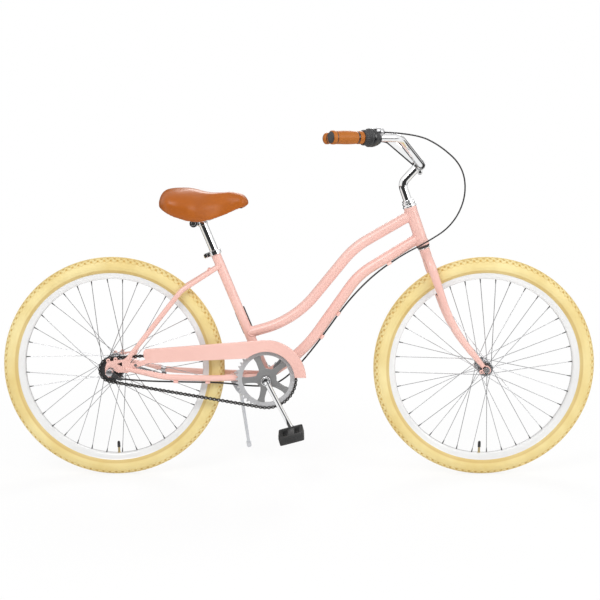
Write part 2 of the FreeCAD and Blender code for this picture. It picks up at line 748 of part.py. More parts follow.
def front_wheel():
    tyre(front, "front_tyre")
    ring = rim(front, FRONT_VALVE_ANGLE, "front_rim", "front_valve")
    bars = spokes(front, ring, FRONT_FLANGE_PLACE, FRONT_FLANGE_RADIUS)
    bore = FRONT_CONE_RADIUS + RUN_FIT
    flange_in = FRONT_FLANGE_PLACE - FLANGE_THICKNESS / 2
    flange_out = FRONT_FLANGE_PLACE + FLANGE_THICKNESS / 2
    profile = [
        (bore, -flange_out), (FRONT_FLANGE_RADIUS, -flange_out), (FRONT_FLANGE_RADIUS, -flange_in),
        (FRONT_BARREL_RADIUS, -flange_in), (FRONT_BARREL_RADIUS, flange_in),
        (FRONT_FLANGE_RADIUS, flange_in), (FRONT_FLANGE_RADIUS, flange_out), (bore, flange_out),
    ]
    save(Part.makeCompound([lathe(profile, front, LEFT)] + bars), "front_hub_and_spokes")

    inner = FRONT_SPACING / 2
    outer = inner + FORK_TIP_THICKNESS
    cone_inner = inner - FRONT_CONE_LENGTH
    axle_end = outer + FRONT_NUT_HEIGHT + FRONT_AXLE_PROUD
    half = [
        (FRONT_AXLE_RADIUS, cone_inner), (FRONT_CONE_RADIUS, cone_inner), (FRONT_CONE_RADIUS, inner),
        (FRONT_AXLE_RADIUS, inner), (FRONT_AXLE_RADIUS, axle_end), (0, axle_end),
    ]
    profile = half + [(r, -y) for r, y in reversed(half)]
    axle = lathe(profile, front, LEFT)
    nuts = []
    for side in (1, -1):
        start = front + LEFT * (side * outer)
        nut = prism(6, FRONT_NUT_RADIUS, start, start + LEFT * (side * FRONT_NUT_HEIGHT))
        nuts.append(nut.cut(axle))
    save(Part.makeCompound([axle] + nuts), "front_axle")


def rear_wheel():
    tyre(rear, "rear_tyre")
    ring = rim(rear, REAR_VALVE_ANGLE, "rear_rim", "rear_valve")
    bars = spokes(rear, ring, REAR_FLANGE_PLACE, REAR_FLANGE_RADIUS)
    neck_bore = DRIVER_RADIUS + RUN_FIT
    cone_bore = LEFT_CONE_RADIUS + RUN_FIT
    flange_in = REAR_FLANGE_PLACE - FLANGE_THICKNESS / 2
    flange_out = REAR_FLANGE_PLACE + FLANGE_THICKNESS / 2
    wall = REAR_SHELL_LEFT - LEFT_CONE_DEPTH
    profile = [
        (neck_bore, -REAR_SHELL_RIGHT), (REAR_END_RADIUS, -REAR_SHELL_RIGHT), (REAR_END_RADIUS, -flange_out),
        (REAR_FLANGE_RADIUS, -flange_out), (REAR_FLANGE_RADIUS, -flange_in), (REAR_BARREL_RADIUS, -flange_in),
        (REAR_BARREL_RADIUS, flange_in), (REAR_FLANGE_RADIUS, flange_in), (REAR_FLANGE_RADIUS, flange_out),
        (REAR_END_RADIUS, flange_out), (REAR_END_RADIUS, REAR_SHELL_LEFT),
        (cone_bore, REAR_SHELL_LEFT), (cone_bore, wall), (neck_bore, wall),
    ]
    save(Part.makeCompound([lathe(profile, rear, LEFT)] + bars), "rear_hub_and_spokes")


def rear_axle():
    """Axle with its cones, lock nuts and end nuts, all fixed to the frame."""
    inner = REAR_SPACING / 2
    outer = inner + DROPOUT_THICKNESS
    cone_right = REAR_SHELL_RIGHT - DRIVER_NECK
    cone_left = REAR_SHELL_LEFT - LEFT_CONE_DEPTH
    arm_outer = inner - REAR_LOCKNUT_HEIGHT
    arm_inner = arm_outer - BRAKE_ARM_THICKNESS
    reach = outer + REAR_NUT_HEIGHT
    right_end = -reach - RIGHT_AXLE_PROUD
    left_end = reach + LEFT_AXLE_PROUD
    profile = [
        (0, right_end), (REAR_AXLE_RADIUS, right_end),
        (REAR_AXLE_RADIUS, -inner), (RIGHT_CONE_RADIUS, -inner),
        (RIGHT_CONE_RADIUS, -cone_right), (REAR_AXLE_RADIUS, -cone_right), (REAR_AXLE_RADIUS, cone_left),
        (LEFT_CONE_RADIUS, cone_left), (LEFT_CONE_RADIUS, arm_inner), (REAR_AXLE_RADIUS, arm_inner),
        (REAR_AXLE_RADIUS, arm_outer), (REAR_LOCKNUT_RADIUS, arm_outer), (REAR_LOCKNUT_RADIUS, inner),
        (REAR_AXLE_RADIUS, inner), (REAR_AXLE_RADIUS, left_end), (0, left_end),
    ]
    axle = lathe(profile, rear, LEFT)
    solids = [axle]
    for side in (1, -1):
        start = rear + LEFT * (side * outer)
        nut = prism(6, REAR_NUT_RADIUS, start, start + LEFT * (side * REAR_NUT_HEIGHT))
        solids.append(nut.cut(axle))
    save(Part.makeCompound(solids), "rear_axle")
    return arm_inner, arm_outer, reach


def brake_arm(arm_inner, arm_outer, chain_corners, chain_skin):
    """Reaction arm of the back-pedal brake, strapped to the left chain stay."""
    drop = math.radians(BRAKE_ARM_DROP)
    ahead = V(math.cos(drop), 0, -math.sin(drop))
    across = V(math.sin(drop), 0, math.cos(drop))
    root = rear + LEFT * arm_inner
    tip = root + ahead * BRAKE_ARM_LENGTH
    wide = across * (BRAKE_ARM_WIDTH / 2)
    narrow = across * (BRAKE_ARM_WIDTH / 3)
    corners = [root + wide, tip + narrow, tip - narrow, root - wide]
    bar = Part.Face(Part.makePolygon(corners + corners[:1])).extrude(LEFT * BRAKE_ARM_THICKNESS)
    depth = LEFT * BRAKE_ARM_THICKNESS
    bar = bar.fuse(rod(root, root + depth, BRAKE_EYE_RADIUS)).fuse(rod(tip, tip + depth, BRAKE_TIP_RADIUS))
    bar = bar.cut(rod(root, root + depth, REAR_AXLE_RADIUS)).removeSplitter()

    low, high = chain_corners[-2], chain_corners[-1]
    share = (tip.x - low.x) / (high.x - low.x)
    middle = low + (high - low) * share
    way = (high - low).normalize()
    half = STRAP_WIDTH / 2
    band = rod(middle - way * half, middle + way * half, CHAIN_STAY_RADIUS + STRAP_THICKNESS)
    cheek_low = V(middle.x - half, arm_outer, tip.z - BRAKE_ARM_WIDTH / 3)
    cheek_high = V(middle.x + half, arm_outer + STRAP_THICKNESS, middle.z)
    band = band.fuse(box(cheek_low, cheek_high)).cut(chain_skin).cut(bar)
    band = largest(band)
    save(Part.makeCompound([bar, band]), "brake_arm")


def bell_crank(reach):
    """Small lever case on the right axle end that the gear cable pulls."""
    start = rear + RIGHT * (reach + RIGHT_AXLE_PROUD)
    end = start + RIGHT * BELL_CRANK_LENGTH
    case = rod(start, end, BELL_CRANK_RADIUS)
    cable_end = over_axle(*CABLE_RUN[-1])
    way = (over_axle(*CABLE_RUN[-1]) - over_axle(*CABLE_RUN[-2])).normalize()
    ferrule = rod(cable_end, cable_end + way * FERRULE_LENGTH, CABLE_RADIUS * 2)
    lever_y = cable_end.y
    lever_half = LEFT * (LEVER_WIDTH / 2)
    tip = cable_end + way * (FERRULE_LENGTH / 2)
    root = V(rear.x, lever_y, rear.z)
    across = (tip - root).cross(LEFT).normalize()
    wide, narrow = across * LEVER_ROOT, across * LEVER_TIP
    corners = [root + wide, tip + narrow, tip - narrow, root - wide]
    lever = Part.Face(Part.makePolygon(corners + corners[:1])).extrude(lever_half * 2)
    lever.translate(lever_half * -1)
    save(joined([case, lever, ferrule]), "bell_crank")


# Chain drive

def toothed_outline(teeth, pitch_radius, centre, ahead, lift):
    """Sprocket outline: straight-sided teeth midway between the roller seats."""
    step = 2 * math.pi / teeth
    root = pitch_radius - TOOTH_DEPTH
    tip = pitch_radius + TOOTH_HEIGHT
    corners = []
    for number in range(teeth):
        middle = (number + 0.5) * step
        for radius, half in ((root, -TOOTH_ROOT), (tip, -TOOTH_TIP), (tip, TOOTH_TIP), (root, TOOTH_ROOT)):
            angle = middle + math.asin(half / radius)
            corners.append(centre + ahead * (radius * math.cos(angle)) + lift * (radius * math.sin(angle)))
    return corners


def toothed_plate(teeth, pitch_radius, centre, ahead, lift):
    first = -CHAIN_LINE - TOOTH_THICKNESS / 2
    corners = toothed_outline(teeth, pitch_radius, centre + LEFT * first, ahead, lift)
    return Part.Face(Part.makePolygon(corners + corners[:1])).extrude(LEFT * TOOTH_THICKNESS)


def chainring():
    body = toothed_plate(RING_TEETH, ring_radius, bracket, drive_ahead, drive_up)
    near = bracket + RIGHT * (CHAIN_LINE + TOOTH_THICKNESS)
    far = bracket + RIGHT * (CHAIN_LINE - TOOTH_THICKNESS)
    windows = rod(near, far, RING_BAND_INNER).cut(rod(near, far, RING_HUB_RADIUS))
    for number in range(RING_ARM_COUNT):
        arm = box(V(0, 0, -RING_ARM_WIDTH / 2), V(ring_radius, 2 * TOOTH_THICKNESS, RING_ARM_WIDTH / 2))
        arm.rotate(V(0, 0, 0), LEFT, -RING_ARM_ANGLE - number * 360.0 / RING_ARM_COUNT)
        arm.translate(near)
        windows = windows.cut(arm)
    body = body.cut(windows).cut(rod(near, far, CRANK_NECK_RADIUS))
    save(body, "chainring")


def rear_sprocket():
    cog = toothed_plate(COG_TEETH, cog_radius, rear, drive_ahead * -1, drive_up)
    outer = CHAIN_LINE + DRIVER_OVERHANG
    inner = REAR_SHELL_RIGHT - DRIVER_NECK
    bore = RIGHT_CONE_RADIUS + RUN_FIT
    profile = [(bore, -outer), (DRIVER_RADIUS, -outer), (DRIVER_RADIUS, -inner), (bore, -inner)]
    driver = lathe(profile, rear, LEFT)
    near = rear + RIGHT * outer
    far = rear + RIGHT * inner
    cog = cog.cut(rod(near, far, DRIVER_RADIUS))
    save(Part.makeCompound([driver, cog]), "rear_sprocket")


def roller_places():
    """Centre of every roller, round the chainring, back, round the cog and forward again."""
    places = []
    for number in range(RING_WRAP + 1):
        angle = ring_half_wrap - number * 2 * ring_half_wrap / RING_WRAP
        places.append(bracket + (drive_ahead * math.cos(angle) + drive_up * math.sin(angle)) * ring_radius)
    cog_places = []
    for number in range(COG_WRAP + 1):
        angle = -cog_half_wrap + number * 2 * cog_half_wrap / COG_WRAP
        cog_places.append(rear + (drive_ahead * -math.cos(angle) + drive_up * math.sin(angle)) * cog_radius)
    for number in range(1, RUN_LINKS):
        places.append(places[RING_WRAP] + (cog_places[0] - places[RING_WRAP]) * (number / RUN_LINKS))
    places += cog_places
    for number in range(1, RUN_LINKS):
        places.append(cog_places[-1] + (places[0] - cog_places[-1]) * (number / RUN_LINKS))
    return places


def link_plate(first, second, inside, outside):
    """Side plate with pointed ends round two rollers, between two Y planes."""
    half = PLATE_HEIGHT / 2
    way = (second - first).normalize()
    lift = V(-way.z, 0, way.x) * half
    end = way * half
    point = end * PLATE_POINT
    corners = [
        first - end, first - point + lift, second + point + lift,
        second + end, second + point - lift, first - point - lift,
    ]
    corners = [V(corner.x, inside, corner.z) for corner in corners]
    return Part.Face(Part.makePolygon(corners + corners[:1])).extrude(LEFT * (outside - inside))


def chain():
    """Roller chain: links with rollers, held together by pairs of outer plates."""
    places = roller_places()
    half = CHAIN_INNER_WIDTH / 2
    links = []
    for number, first in enumerate(places):
        second = places[(number + 1) % len(places)]
        start = half if number % 2 == 0 else half + PLATE_THICKNESS
        near = link_plate(first, second, -CHAIN_LINE - start, -CHAIN_LINE - start - PLATE_THICKNESS)
        far = link_plate(first, second, -CHAIN_LINE + start, -CHAIN_LINE + start + PLATE_THICKNESS)
        if number % 2 == 0:
            for place in (first, second):
                middle = place + RIGHT * CHAIN_LINE
                links.append(prism(ROLLER_SIDES, ROLLER_RADIUS, middle - LEFT * half, middle + LEFT * half))
        links += [near, far]
    save(Part.makeCompound(links), "chain")


def cranks():
    turn = math.radians(CRANK_ANGLE)
    way = V(math.cos(turn), 0, math.sin(turn))
    eye_half = CRANK_ARM_RADIUS + CRANK_EYE_LIP
    inner = CRANK_ARM_PLACE - eye_half
    outer = CRANK_ARM_PLACE + eye_half
    spindle_end = LEFT * (outer - SPINDLE_RECESS)
    spindles = [rod(bracket - spindle_end, bracket + spindle_end, SPINDLE_RADIUS)]
    for side, name in ((1, "crank_left"), (-1, "crank_right")):
        arm_way = way * -side
        out = LEFT * side
        middle = bracket + out * CRANK_ARM_PLACE
        eye = middle + arm_way * CRANK_LENGTH
        boss = rod(bracket + out * inner, bracket + out * outer, CRANK_BOSS_RADIUS)
        neck = rod(bracket + out * CRANK_BOSS_INNER, bracket + out * inner, CRANK_NECK_RADIUS)
        arm = rod(middle, eye, CRANK_ARM_RADIUS)
        ring = rod(eye - out * eye_half, eye + out * eye_half, CRANK_EYE_RADIUS)
        body = joined([boss, neck, arm, ring])
        body = body.cut(rod(bracket, bracket + spindle_end * side, SPINDLE_RADIUS))
        body = body.cut(rod(eye - out * eye_half, eye + out * eye_half, PEDAL_SPINDLE_RADIUS))
        save(body, name)

        reach = outer + PEDAL_SHOULDER + BODY_GAP + PEDAL_WIDTH - PEDAL_END / 2
        axis = V(eye.x, 0, eye.z)
        shoulder = PEDAL_SHOULDER_RADIUS
        profile = [
            (0, inner), (PEDAL_SPINDLE_RADIUS, inner), (PEDAL_SPINDLE_RADIUS, outer), (shoulder, outer),
            (shoulder, outer + PEDAL_SHOULDER), (PEDAL_SPINDLE_RADIUS, outer + PEDAL_SHOULDER),
            (PEDAL_SPINDLE_RADIUS, reach), (0, reach),
        ]
        spindles.append(lathe(profile, axis, out))
        pedal(axis, side, outer + PEDAL_SHOULDER + BODY_GAP, reach)
    save(Part.makeCompound(spindles), "crank_spindles")


def pedal(axis, side, inner, spindle_end):
    """Block pedal: a barrel, two end walls and treads joined round open slots."""
    outer = inner + PEDAL_WIDTH
    half = PEDAL_LENGTH / 2
    thick = PEDAL_THICKNESS / 2
    cut = PEDAL_CHAMFER
    outline = [
        (-half, -thick + cut), (-half, thick - cut), (-half + cut, thick), (half - cut, thick),
        (half, thick - cut), (half, -thick + cut), (half - cut, -thick), (-half + cut, -thick),
    ]
    body = plate(outline, inner, outer)
    for sign in (1, -1):
        near = sign * PEDAL_BARREL_RADIUS
        far = sign * (half - PEDAL_RAIL)
        slot_low = V(min(near, far), inner + PEDAL_END, -thick)
        slot_high = V(max(near, far), outer - PEDAL_END, thick)
        body = body.cut(box(slot_low, slot_high))
        waist = sign * (thick - PEDAL_WAIST)
        waist_low = V(-PEDAL_BARREL_RADIUS, inner + PEDAL_END, min(sign * thick, waist))
        waist_high = V(PEDAL_BARREL_RADIUS, outer - PEDAL_END, max(sign * thick, waist))
        body = body.cut(box(waist_low, waist_high))
        pocket = sign * (half - PEDAL_POCKET)
        pocket_low = V(min(sign * half, pocket), inner + 2 * PEDAL_END, -thick / 2)
        pocket_high = V(max(sign * half, pocket), outer - 2 * PEDAL_END, thick / 2)
        body = body.cut(box(pocket_low, pocket_high))
    bore = rod(V(0, inner, 0), V(0, spindle_end + BODY_GAP, 0), PEDAL_SPINDLE_RADIUS + RUN_FIT)
    body = body.cut(bore)
    if side < 0:
        body = other_side(body)
    body.rotate(V(0, 0, 0), LEFT, RIGHT_PEDAL_TILT if side < 0 else LEFT_PEDAL_TILT)
    body.translate(axis)
    save(body, "pedal_right" if side < 0 else "pedal_left")


def bracket_cups():
    bore = SPINDLE_RADIUS + RUN_FIT
    half = SHELL_WIDTH / 2
    profile = [
        (bore, half - CUP_DEPTH), (SHELL_BORE_RADIUS, half - CUP_DEPTH), (SHELL_BORE_RADIUS, half),
        (SHELL_RADIUS, half), (SHELL_RADIUS, half + CUP_LIP), (bore, half + CUP_LIP),
    ]
    return [lathe(profile, bracket, LEFT), lathe(profile, bracket, RIGHT)]


# Steering

def fork():
    base = axle_to_crown - CROWN_HEIGHT
    crown = rod(on_steer(base), on_steer(axle_to_crown), CROWN_RADIUS)
    steerer = rod(on_steer(axle_to_crown), on_steer(locknut_top), STEERER_RADIUS)
    bore = rod(on_steer(axle_to_crown), on_steer(locknut_top), QUILL_RADIUS)
    save(joined([crown, steerer]).cut(bore), "fork_steerer")

    tip_y = FRONT_SPACING / 2 + FORK_TIP_THICKNESS / 2
    start = on_steer(axle_to_crown - CROWN_HEIGHT / 2, BLADE_ROOT)
    shoulder = on_steer(axle_to_crown - BLADE_SHOULDER_DROP, BLADE_SPREAD)
    sweep = on_steer(BLADE_SWEEP_START, tip_y - BLADE_TUCK)
    axle = V(front.x, tip_y, front.z)
    end = axle + (sweep - axle).normalize() * FORK_TIP_LENGTH
    bends = [BLADE_SHOULDER_BEND, BLADE_SWEEP_BEND]
    blade = pipe([start, shoulder, sweep, end], bends, BLADE_RADII)
    wide = V(2 * CROWN_RADIUS, 0, 2 * CROWN_RADIUS)
    half_space = box(start - wide * 2 - LEFT * BLADE_SPREAD, V(start.x, 0, start.z) + wide)
    blade = largest(blade.cut(crown).cut(half_space))
    inner = FRONT_SPACING / 2
    outer = inner + FORK_TIP_THICKNESS
    hub_in = V(front.x, inner, front.z)
    hub_out = V(front.x, outer, front.z)
    reach = V(end.x - axle.x, 0, end.z - axle.z).normalize()
    across = reach.cross(LEFT).normalize() * (BLADE_RADII[-1] - 1)
    tang_end = hub_in + reach * (FORK_TIP_LENGTH + FORK_TANG)
    corners = [hub_in + across, hub_in - across, tang_end - across, tang_end + across]
    tang = Part.Face(Part.makePolygon(corners + corners[:1])).extrude(LEFT * FORK_TIP_THICKNESS)
    eyelet = hub_in + V(FORK_EYELET[0], 0, FORK_EYELET[1])
    eye = rod(eyelet, eyelet + LEFT * FORK_TIP_THICKNESS, EYELET_RADIUS)
    tip = joined([rod(hub_in, hub_out, FORK_TIP_RADIUS), tang, eye])
    slot = FRONT_AXLE_RADIUS + DROPOUT_FIT
    slot_low = V(front.x - slot, inner, front.z - 2 * FORK_TIP_RADIUS)
    slot_high = V(front.x + slot, outer, front.z)
    tip = tip.cut(rod(hub_in, hub_out, slot)).cut(box(slot_low, slot_high))
    tip = tip.cut(rod(eyelet, eyelet + LEFT * FORK_TIP_THICKNESS, EYELET_BORE))
    blade = blade.fuse(tip)
    save(blade, "fork_blade_left")
    save(other_side(blade), "fork_blade_right")


def headset():
    bore = STEERER_RADIUS + RUN_FIT
    lower_base = axle_to_crown + RACE_HEIGHT + BODY_GAP
    lower = [
        (bore, lower_base), (RACE_RADIUS, lower_base), (LOWER_CUP_RADIUS, lower_base + HEADSET_CHAMFER),
        (LOWER_CUP_RADIUS, head_bottom), (HEAD_TUBE_BORE, head_bottom),
        (HEAD_TUBE_BORE, head_bottom + CUP_SKIRT), (bore, head_bottom + CUP_SKIRT),
    ]
    upper = [
        (bore, head_top - CUP_SKIRT), (HEAD_TUBE_BORE, head_top - CUP_SKIRT), (HEAD_TUBE_BORE, head_top),
        (UPPER_CUP_RADIUS, head_top), (UPPER_CUP_RADIUS, head_top + UPPER_CUP_HEIGHT - HEADSET_CHAMFER),
        (UPPER_CUP_RADIUS - HEADSET_CHAMFER, head_top + UPPER_CUP_HEIGHT),
        (bore, head_top + UPPER_CUP_HEIGHT),
    ]
    cups = [lathe(profile, steer_foot, steer_up) for profile in (lower, upper)]
    save(Part.makeCompound(cups + bracket_cups()), "bearing_cups")
    race = [
        (STEERER_RADIUS, axle_to_crown), (RACE_RADIUS, axle_to_crown),
        (RACE_RADIUS - HEADSET_CHAMFER, axle_to_crown + RACE_HEIGHT),
        (STEERER_RADIUS, axle_to_crown + RACE_HEIGHT),
    ]
    nut = [
        (STEERER_RADIUS, locknut_bottom), (LOCKNUT_RADIUS, locknut_bottom),
        (LOCKNUT_RADIUS, locknut_top - HEADSET_CHAMFER), (LOCKNUT_RADIUS - HEADSET_CHAMFER, locknut_top),
        (STEERER_RADIUS, locknut_top),
    ]
    races = [lathe(profile, steer_foot, steer_up) for profile in (race, nut)]
    save(Part.makeCompound(races), "headset_races")


def stem():
    clamp = over_axle(CLAMP_X, 0, CLAMP_Z)
    bend = on_steer(locknut_top + STEM_RISE)
    quill = rod(on_steer(locknut_top - QUILL_DEPTH), on_steer(locknut_top), QUILL_RADIUS)
    neck = pipe([on_steer(locknut_top), bend, clamp], [STEM_BEND], [STEM_RADIUS] * 3)
    half = LEFT * (CLAMP_WIDTH / 2)
    barrel = rod(clamp - half, clamp + half, CLAMP_RADIUS)
    ahead = V(CLAMP_LUG_AHEAD, 0, 0)
    lug = rod(clamp + ahead - UP * CLAMP_LUG_DROP, clamp + ahead, CLAMP_LUG_RADIUS)
    bore = rod(clamp - half, clamp + half, BAR_CENTRE_RADIUS)
    slit_half = V(CLAMP_SLIT / 2, CLAMP_WIDTH, 0)
    slit = box(clamp + ahead - slit_half - UP * CLAMP_RADIUS, clamp + ahead + slit_half)
    body = joined([quill, neck, barrel, lug]).cut(bore).cut(slit.common(barrel))
    save(largest(body), "stem")


def bar_end(side):
    """The bar's end on one side and the direction from it back along the grip."""
    end = over_axle(BAR_END[0], side * BAR_END[1], BAR_END[2])
    corner = over_axle(BAR_CORNER[0], side * BAR_CORNER[1], BAR_CORNER[2])
    return end, (corner - end).normalize()


def handlebar():
    clamp = over_axle(CLAMP_X, 0, CLAMP_Z)
    right = [clamp + RIGHT * BAR_STRAIGHT, mirrored(over_axle(*BAR_CORNER)), mirrored(over_axle(*BAR_END))]
    corners = [mirrored(place) for place in reversed(right)] + right
    bends = [BAR_BENDS[1], BAR_BENDS[0], BAR_BENDS[0], BAR_BENDS[1]]
    bar = pipe(corners, bends, [BAR_RADIUS] * 6)
    centre = LEFT * (BAR_CENTRE_LENGTH / 2)
    bar = bar.fuse(rod(clamp - centre, clamp + centre, BAR_CENTRE_RADIUS))
    save(bar, "handlebar")

    plugs = []
    grips = []
    for side, length in ((-1, RIGHT_GRIP_LENGTH), (1, LEFT_GRIP_LENGTH)):
        end, inward = bar_end(side)
        neck = GRIP_RADIUS - GRIP_GROOVE_DEPTH
        profile = [
            (BAR_RADIUS, 0), (GRIP_FLANGE_RADIUS, 0), (GRIP_FLANGE_RADIUS, GRIP_FLANGE),
            (neck, GRIP_FLANGE + GRIP_GROOVE), (GRIP_RADIUS, GRIP_FLANGE + 2 * GRIP_GROOVE),
            (GRIP_RADIUS, length), (BAR_RADIUS, length),
        ]
        grips.append(lathe(profile, end, inward))
        profile = [(0, -PLUG_LENGTH), (PLUG_RADIUS, -PLUG_LENGTH), (PLUG_RADIUS, 0), (0, 0)]
        plugs.append(lathe(profile, end, inward))
    save(Part.makeCompound(grips), "grips")
    save(Part.makeCompound(plugs), "bar_end_plugs")


def shifter():
    """Twist shifter beside the right grip: a turning sleeve and a fixed housing."""
    end, inward = bar_end(-1)
    bore = BAR_RADIUS + RUN_FIT
    start = RIGHT_GRIP_LENGTH + BODY_GAP
    stop = start + TWIST_LENGTH
    flange = stop - TWIST_FLANGE
    profile = [
        (bore, start), (TWIST_RADIUS, start), (TWIST_RADIUS, flange),
        (TWIST_FLANGE_RADIUS, flange), (TWIST_FLANGE_RADIUS, stop), (bore, stop),
    ]
    save(lathe(profile, end, inward), "shifter_twist")
    first = stop + BODY_GAP
    last = first + HOUSING_LENGTH
    profile = [(BAR_RADIUS, first), (TWIST_FLANGE_RADIUS, first), (HOUSING_RADIUS, last), (BAR_RADIUS, last)]
    case = lathe(profile, end, inward)
    window_low = end + inward * (first + HOUSING_LENGTH / 2)
    window = prism(FLAT_SIDES, HOUSING_DOME, window_low, window_low + UP * HOUSING_TOP)
    barrel_start = end + inward * (first + HOUSING_LENGTH / 3) + UP * BARREL_RISE
    barrel_end = end + inward * (last + BARREL_LENGTH) + UP * BARREL_RISE
    barrel = prism(FLAT_SIDES, BARREL_RADIUS, barrel_start, barrel_end)
    bar = rod(end, end + inward * last, BAR_RADIUS)
    save(joined([case, window, barrel]).cut(bar), "shifter_housing")
    return barrel_end + inward * CABLE_START


# Seat post and saddle

def seat_post():
    top = SEAT_TUBE_LENGTH + POST_EXPOSED
    bottom = SEAT_TUBE_LENGTH - POST_INSERTION
    post = rod(on_seat(bottom), on_seat(top), POST_RADIUS)
    bore = rod(on_seat(bottom), on_seat(top - POST_WALL), POST_RADIUS - POST_WALL)
    post = post.cut(bore)
    collar_low = top - SADDLE_COLLAR_HEIGHT
    collar = rod(on_seat(collar_low), on_seat(top), SADDLE_COLLAR_RADIUS)
    pivot = on_seat(top - SADDLE_COLLAR_HEIGHT / 2) + V(-SADDLE_PIVOT_BACK, 0, -SADDLE_PIVOT_DROP)
    half = LEFT * (SADDLE_EAR_WIDTH / 2)
    ear = rod(pivot - half, pivot + half, SADDLE_EAR_RADIUS)
    web_half = V(0, SADDLE_EAR_WIDTH / 2, SADDLE_WEB_HEIGHT / 2)
    web = box(pivot - web_half, pivot + web_half + V(SADDLE_PIVOT_BACK, 0, 0))
    clamp = joined([collar, ear, web]).cut(rod(on_seat(bottom), on_seat(top), POST_RADIUS))
    clamp = clamp.cut(rod(pivot - half, pivot + half, SADDLE_PIVOT_RADIUS + RUN_FIT))
    save(Part.makeCompound([post, largest(clamp)]), "seat_post")
    return pivot


def seat_clamp():
    low = SEAT_TUBE_LENGTH - SEAT_CLAMP_HEIGHT
    high = UP * SEAT_CLAMP_HEIGHT
    foot = V(0, 0, 0)
    ring = rod(foot, high, SEAT_CLAMP_RADIUS)
    ear_reach = SEAT_CLAMP_RADIUS + SEAT_CLAMP_EAR
    half = SEAT_CLAMP_EAR_WIDTH / 2
    step = SEAT_CLAMP_EAR_STEP
    ears = box(V(-ear_reach, -half, step), V(0, half, SEAT_CLAMP_HEIGHT - step))
    slit = box(V(-ear_reach, -SEAT_SLIT / 2, 0), V(0, SEAT_SLIT / 2, SEAT_CLAMP_HEIGHT))
    bolt_at = V(-SEAT_CLAMP_RADIUS - SEAT_CLAMP_EAR * CLAMP_BOLT_PLACE, 0, SEAT_CLAMP_HEIGHT / 2)
    head = LEFT * (half + CLAMP_BOLT_HEAD)
    bolt = prism(6, CLAMP_BOLT_RADIUS, bolt_at - head, bolt_at + head)
    ring = ring.fuse(ears).cut(rod(foot, high, SEAT_TUBE_RADIUS)).cut(slit).cut(bolt)
    bolt = bolt.fuse(prism(6, 2 * CLAMP_BOLT_RADIUS, bolt_at - head, bolt_at - LEFT * half))
    bolt = bolt.fuse(prism(6, 2 * CLAMP_BOLT_RADIUS, bolt_at + LEFT * half, bolt_at + head))
    group = Part.makeCompound([ring, bolt])
    group.Placement = along(on_seat(low), seat_up)
    save(group, "seat_clamp")


def saddle_section(x, low, high, half):
    """Cross-section of the cushion: flat underside, drawn-in sides and a crowned top."""
    tuck = half * SADDLE_CHINE
    rise = high - low
    shoulder = half * SADDLE_SHOULDER
    edge = low + rise * SADDLE_EDGE
    belly = low + rise * SADDLE_BELLY
    right_low, left_low = V(x, -tuck, low), V(x, tuck, low)
    right_high, left_high = V(x, -shoulder, edge), V(x, shoulder, edge)
    edges = [
        Part.LineSegment(left_low, right_low).toShape(),
        Part.Arc(right_low, V(x, -half, belly), right_high).toShape(),
        Part.Arc(right_high, V(x, 0, high), left_high).toShape(),
        Part.Arc(left_high, V(x, half, belly), left_low).toShape(),
    ]
    return Part.Wire(edges)


def saddle(pivot):
    tail_x = pivot.x + SADDLE_TAIL
    sections = []
    for ahead, low, high, half in SADDLE_STATIONS:
        sections.append(saddle_section(tail_x + ahead, pivot.z + low, pivot.z + high, half))
    cushion = Part.makeLoft(sections, True, True)
    inner = SADDLE_STATIONS[1:-1]
    plan = [V(tail_x + ahead, half * SADDLE_BASE_SHARE, pivot.z) for ahead, low, high, half in inner]
    plan += [mirrored(corner) for corner in reversed(plan)]
    outline = Part.Face(Part.makePolygon(plan + plan[:1]))
    cavity = outline.extrude(UP * SADDLE_BASE_TOP)
    save(largest(cushion.cut(cavity)), "saddle_cushion")
    base_low = pivot.z + SADDLE_BASE_TOP - SADDLE_BASE_THICKNESS
    base = outline.extrude(UP * SADDLE_BASE_THICKNESS)
    base.translate(UP * (SADDLE_BASE_TOP - SADDLE_BASE_THICKNESS))
    save(base, "saddle_base")

    rail_z = pivot.z + RAIL_LIFT
    nose = V(tail_x + inner[-1][0] - RAIL_INSET, RAIL_NOSE_SPREAD, base_low)
    low_front = V(pivot.x + RAIL_CLAMP_FRONT, RAIL_SPREAD, rail_z)
    low_back = V(pivot.x - RAIL_CLAMP_BACK, RAIL_SPREAD, rail_z)
    tail = V(tail_x + inner[0][0] + RAIL_INSET, RAIL_TAIL_SPREAD, base_low)
    rail_corners = [nose, low_front, low_back, tail]
    rail = flat_pipe(rail_corners, [RAIL_BEND, RAIL_BEND], RAIL_RADIUS, FLAT_SIDES).cut(base)
    discs = []
    start = SADDLE_EAR_WIDTH / 2 + BODY_GAP
    for side in (1, -1):
        near = pivot + LEFT * (side * start)
        disc = rod(near, near + LEFT * (side * SADDLE_DISC_WIDTH), SADDLE_DISC_RADIUS)
        discs.append(disc.cut(rail).cut(other_side(rail)))
    bolt_half = LEFT * (start + SADDLE_DISC_WIDTH + SADDLE_BOLT_PROUD)
    bolt = rod(pivot - bolt_half, pivot + bolt_half, SADDLE_PIVOT_RADIUS)
    discs = [disc.cut(bolt) for disc in discs]
    save(Part.makeCompound([rail, other_side(rail), bolt] + discs), "saddle_rails")


# Chain guard

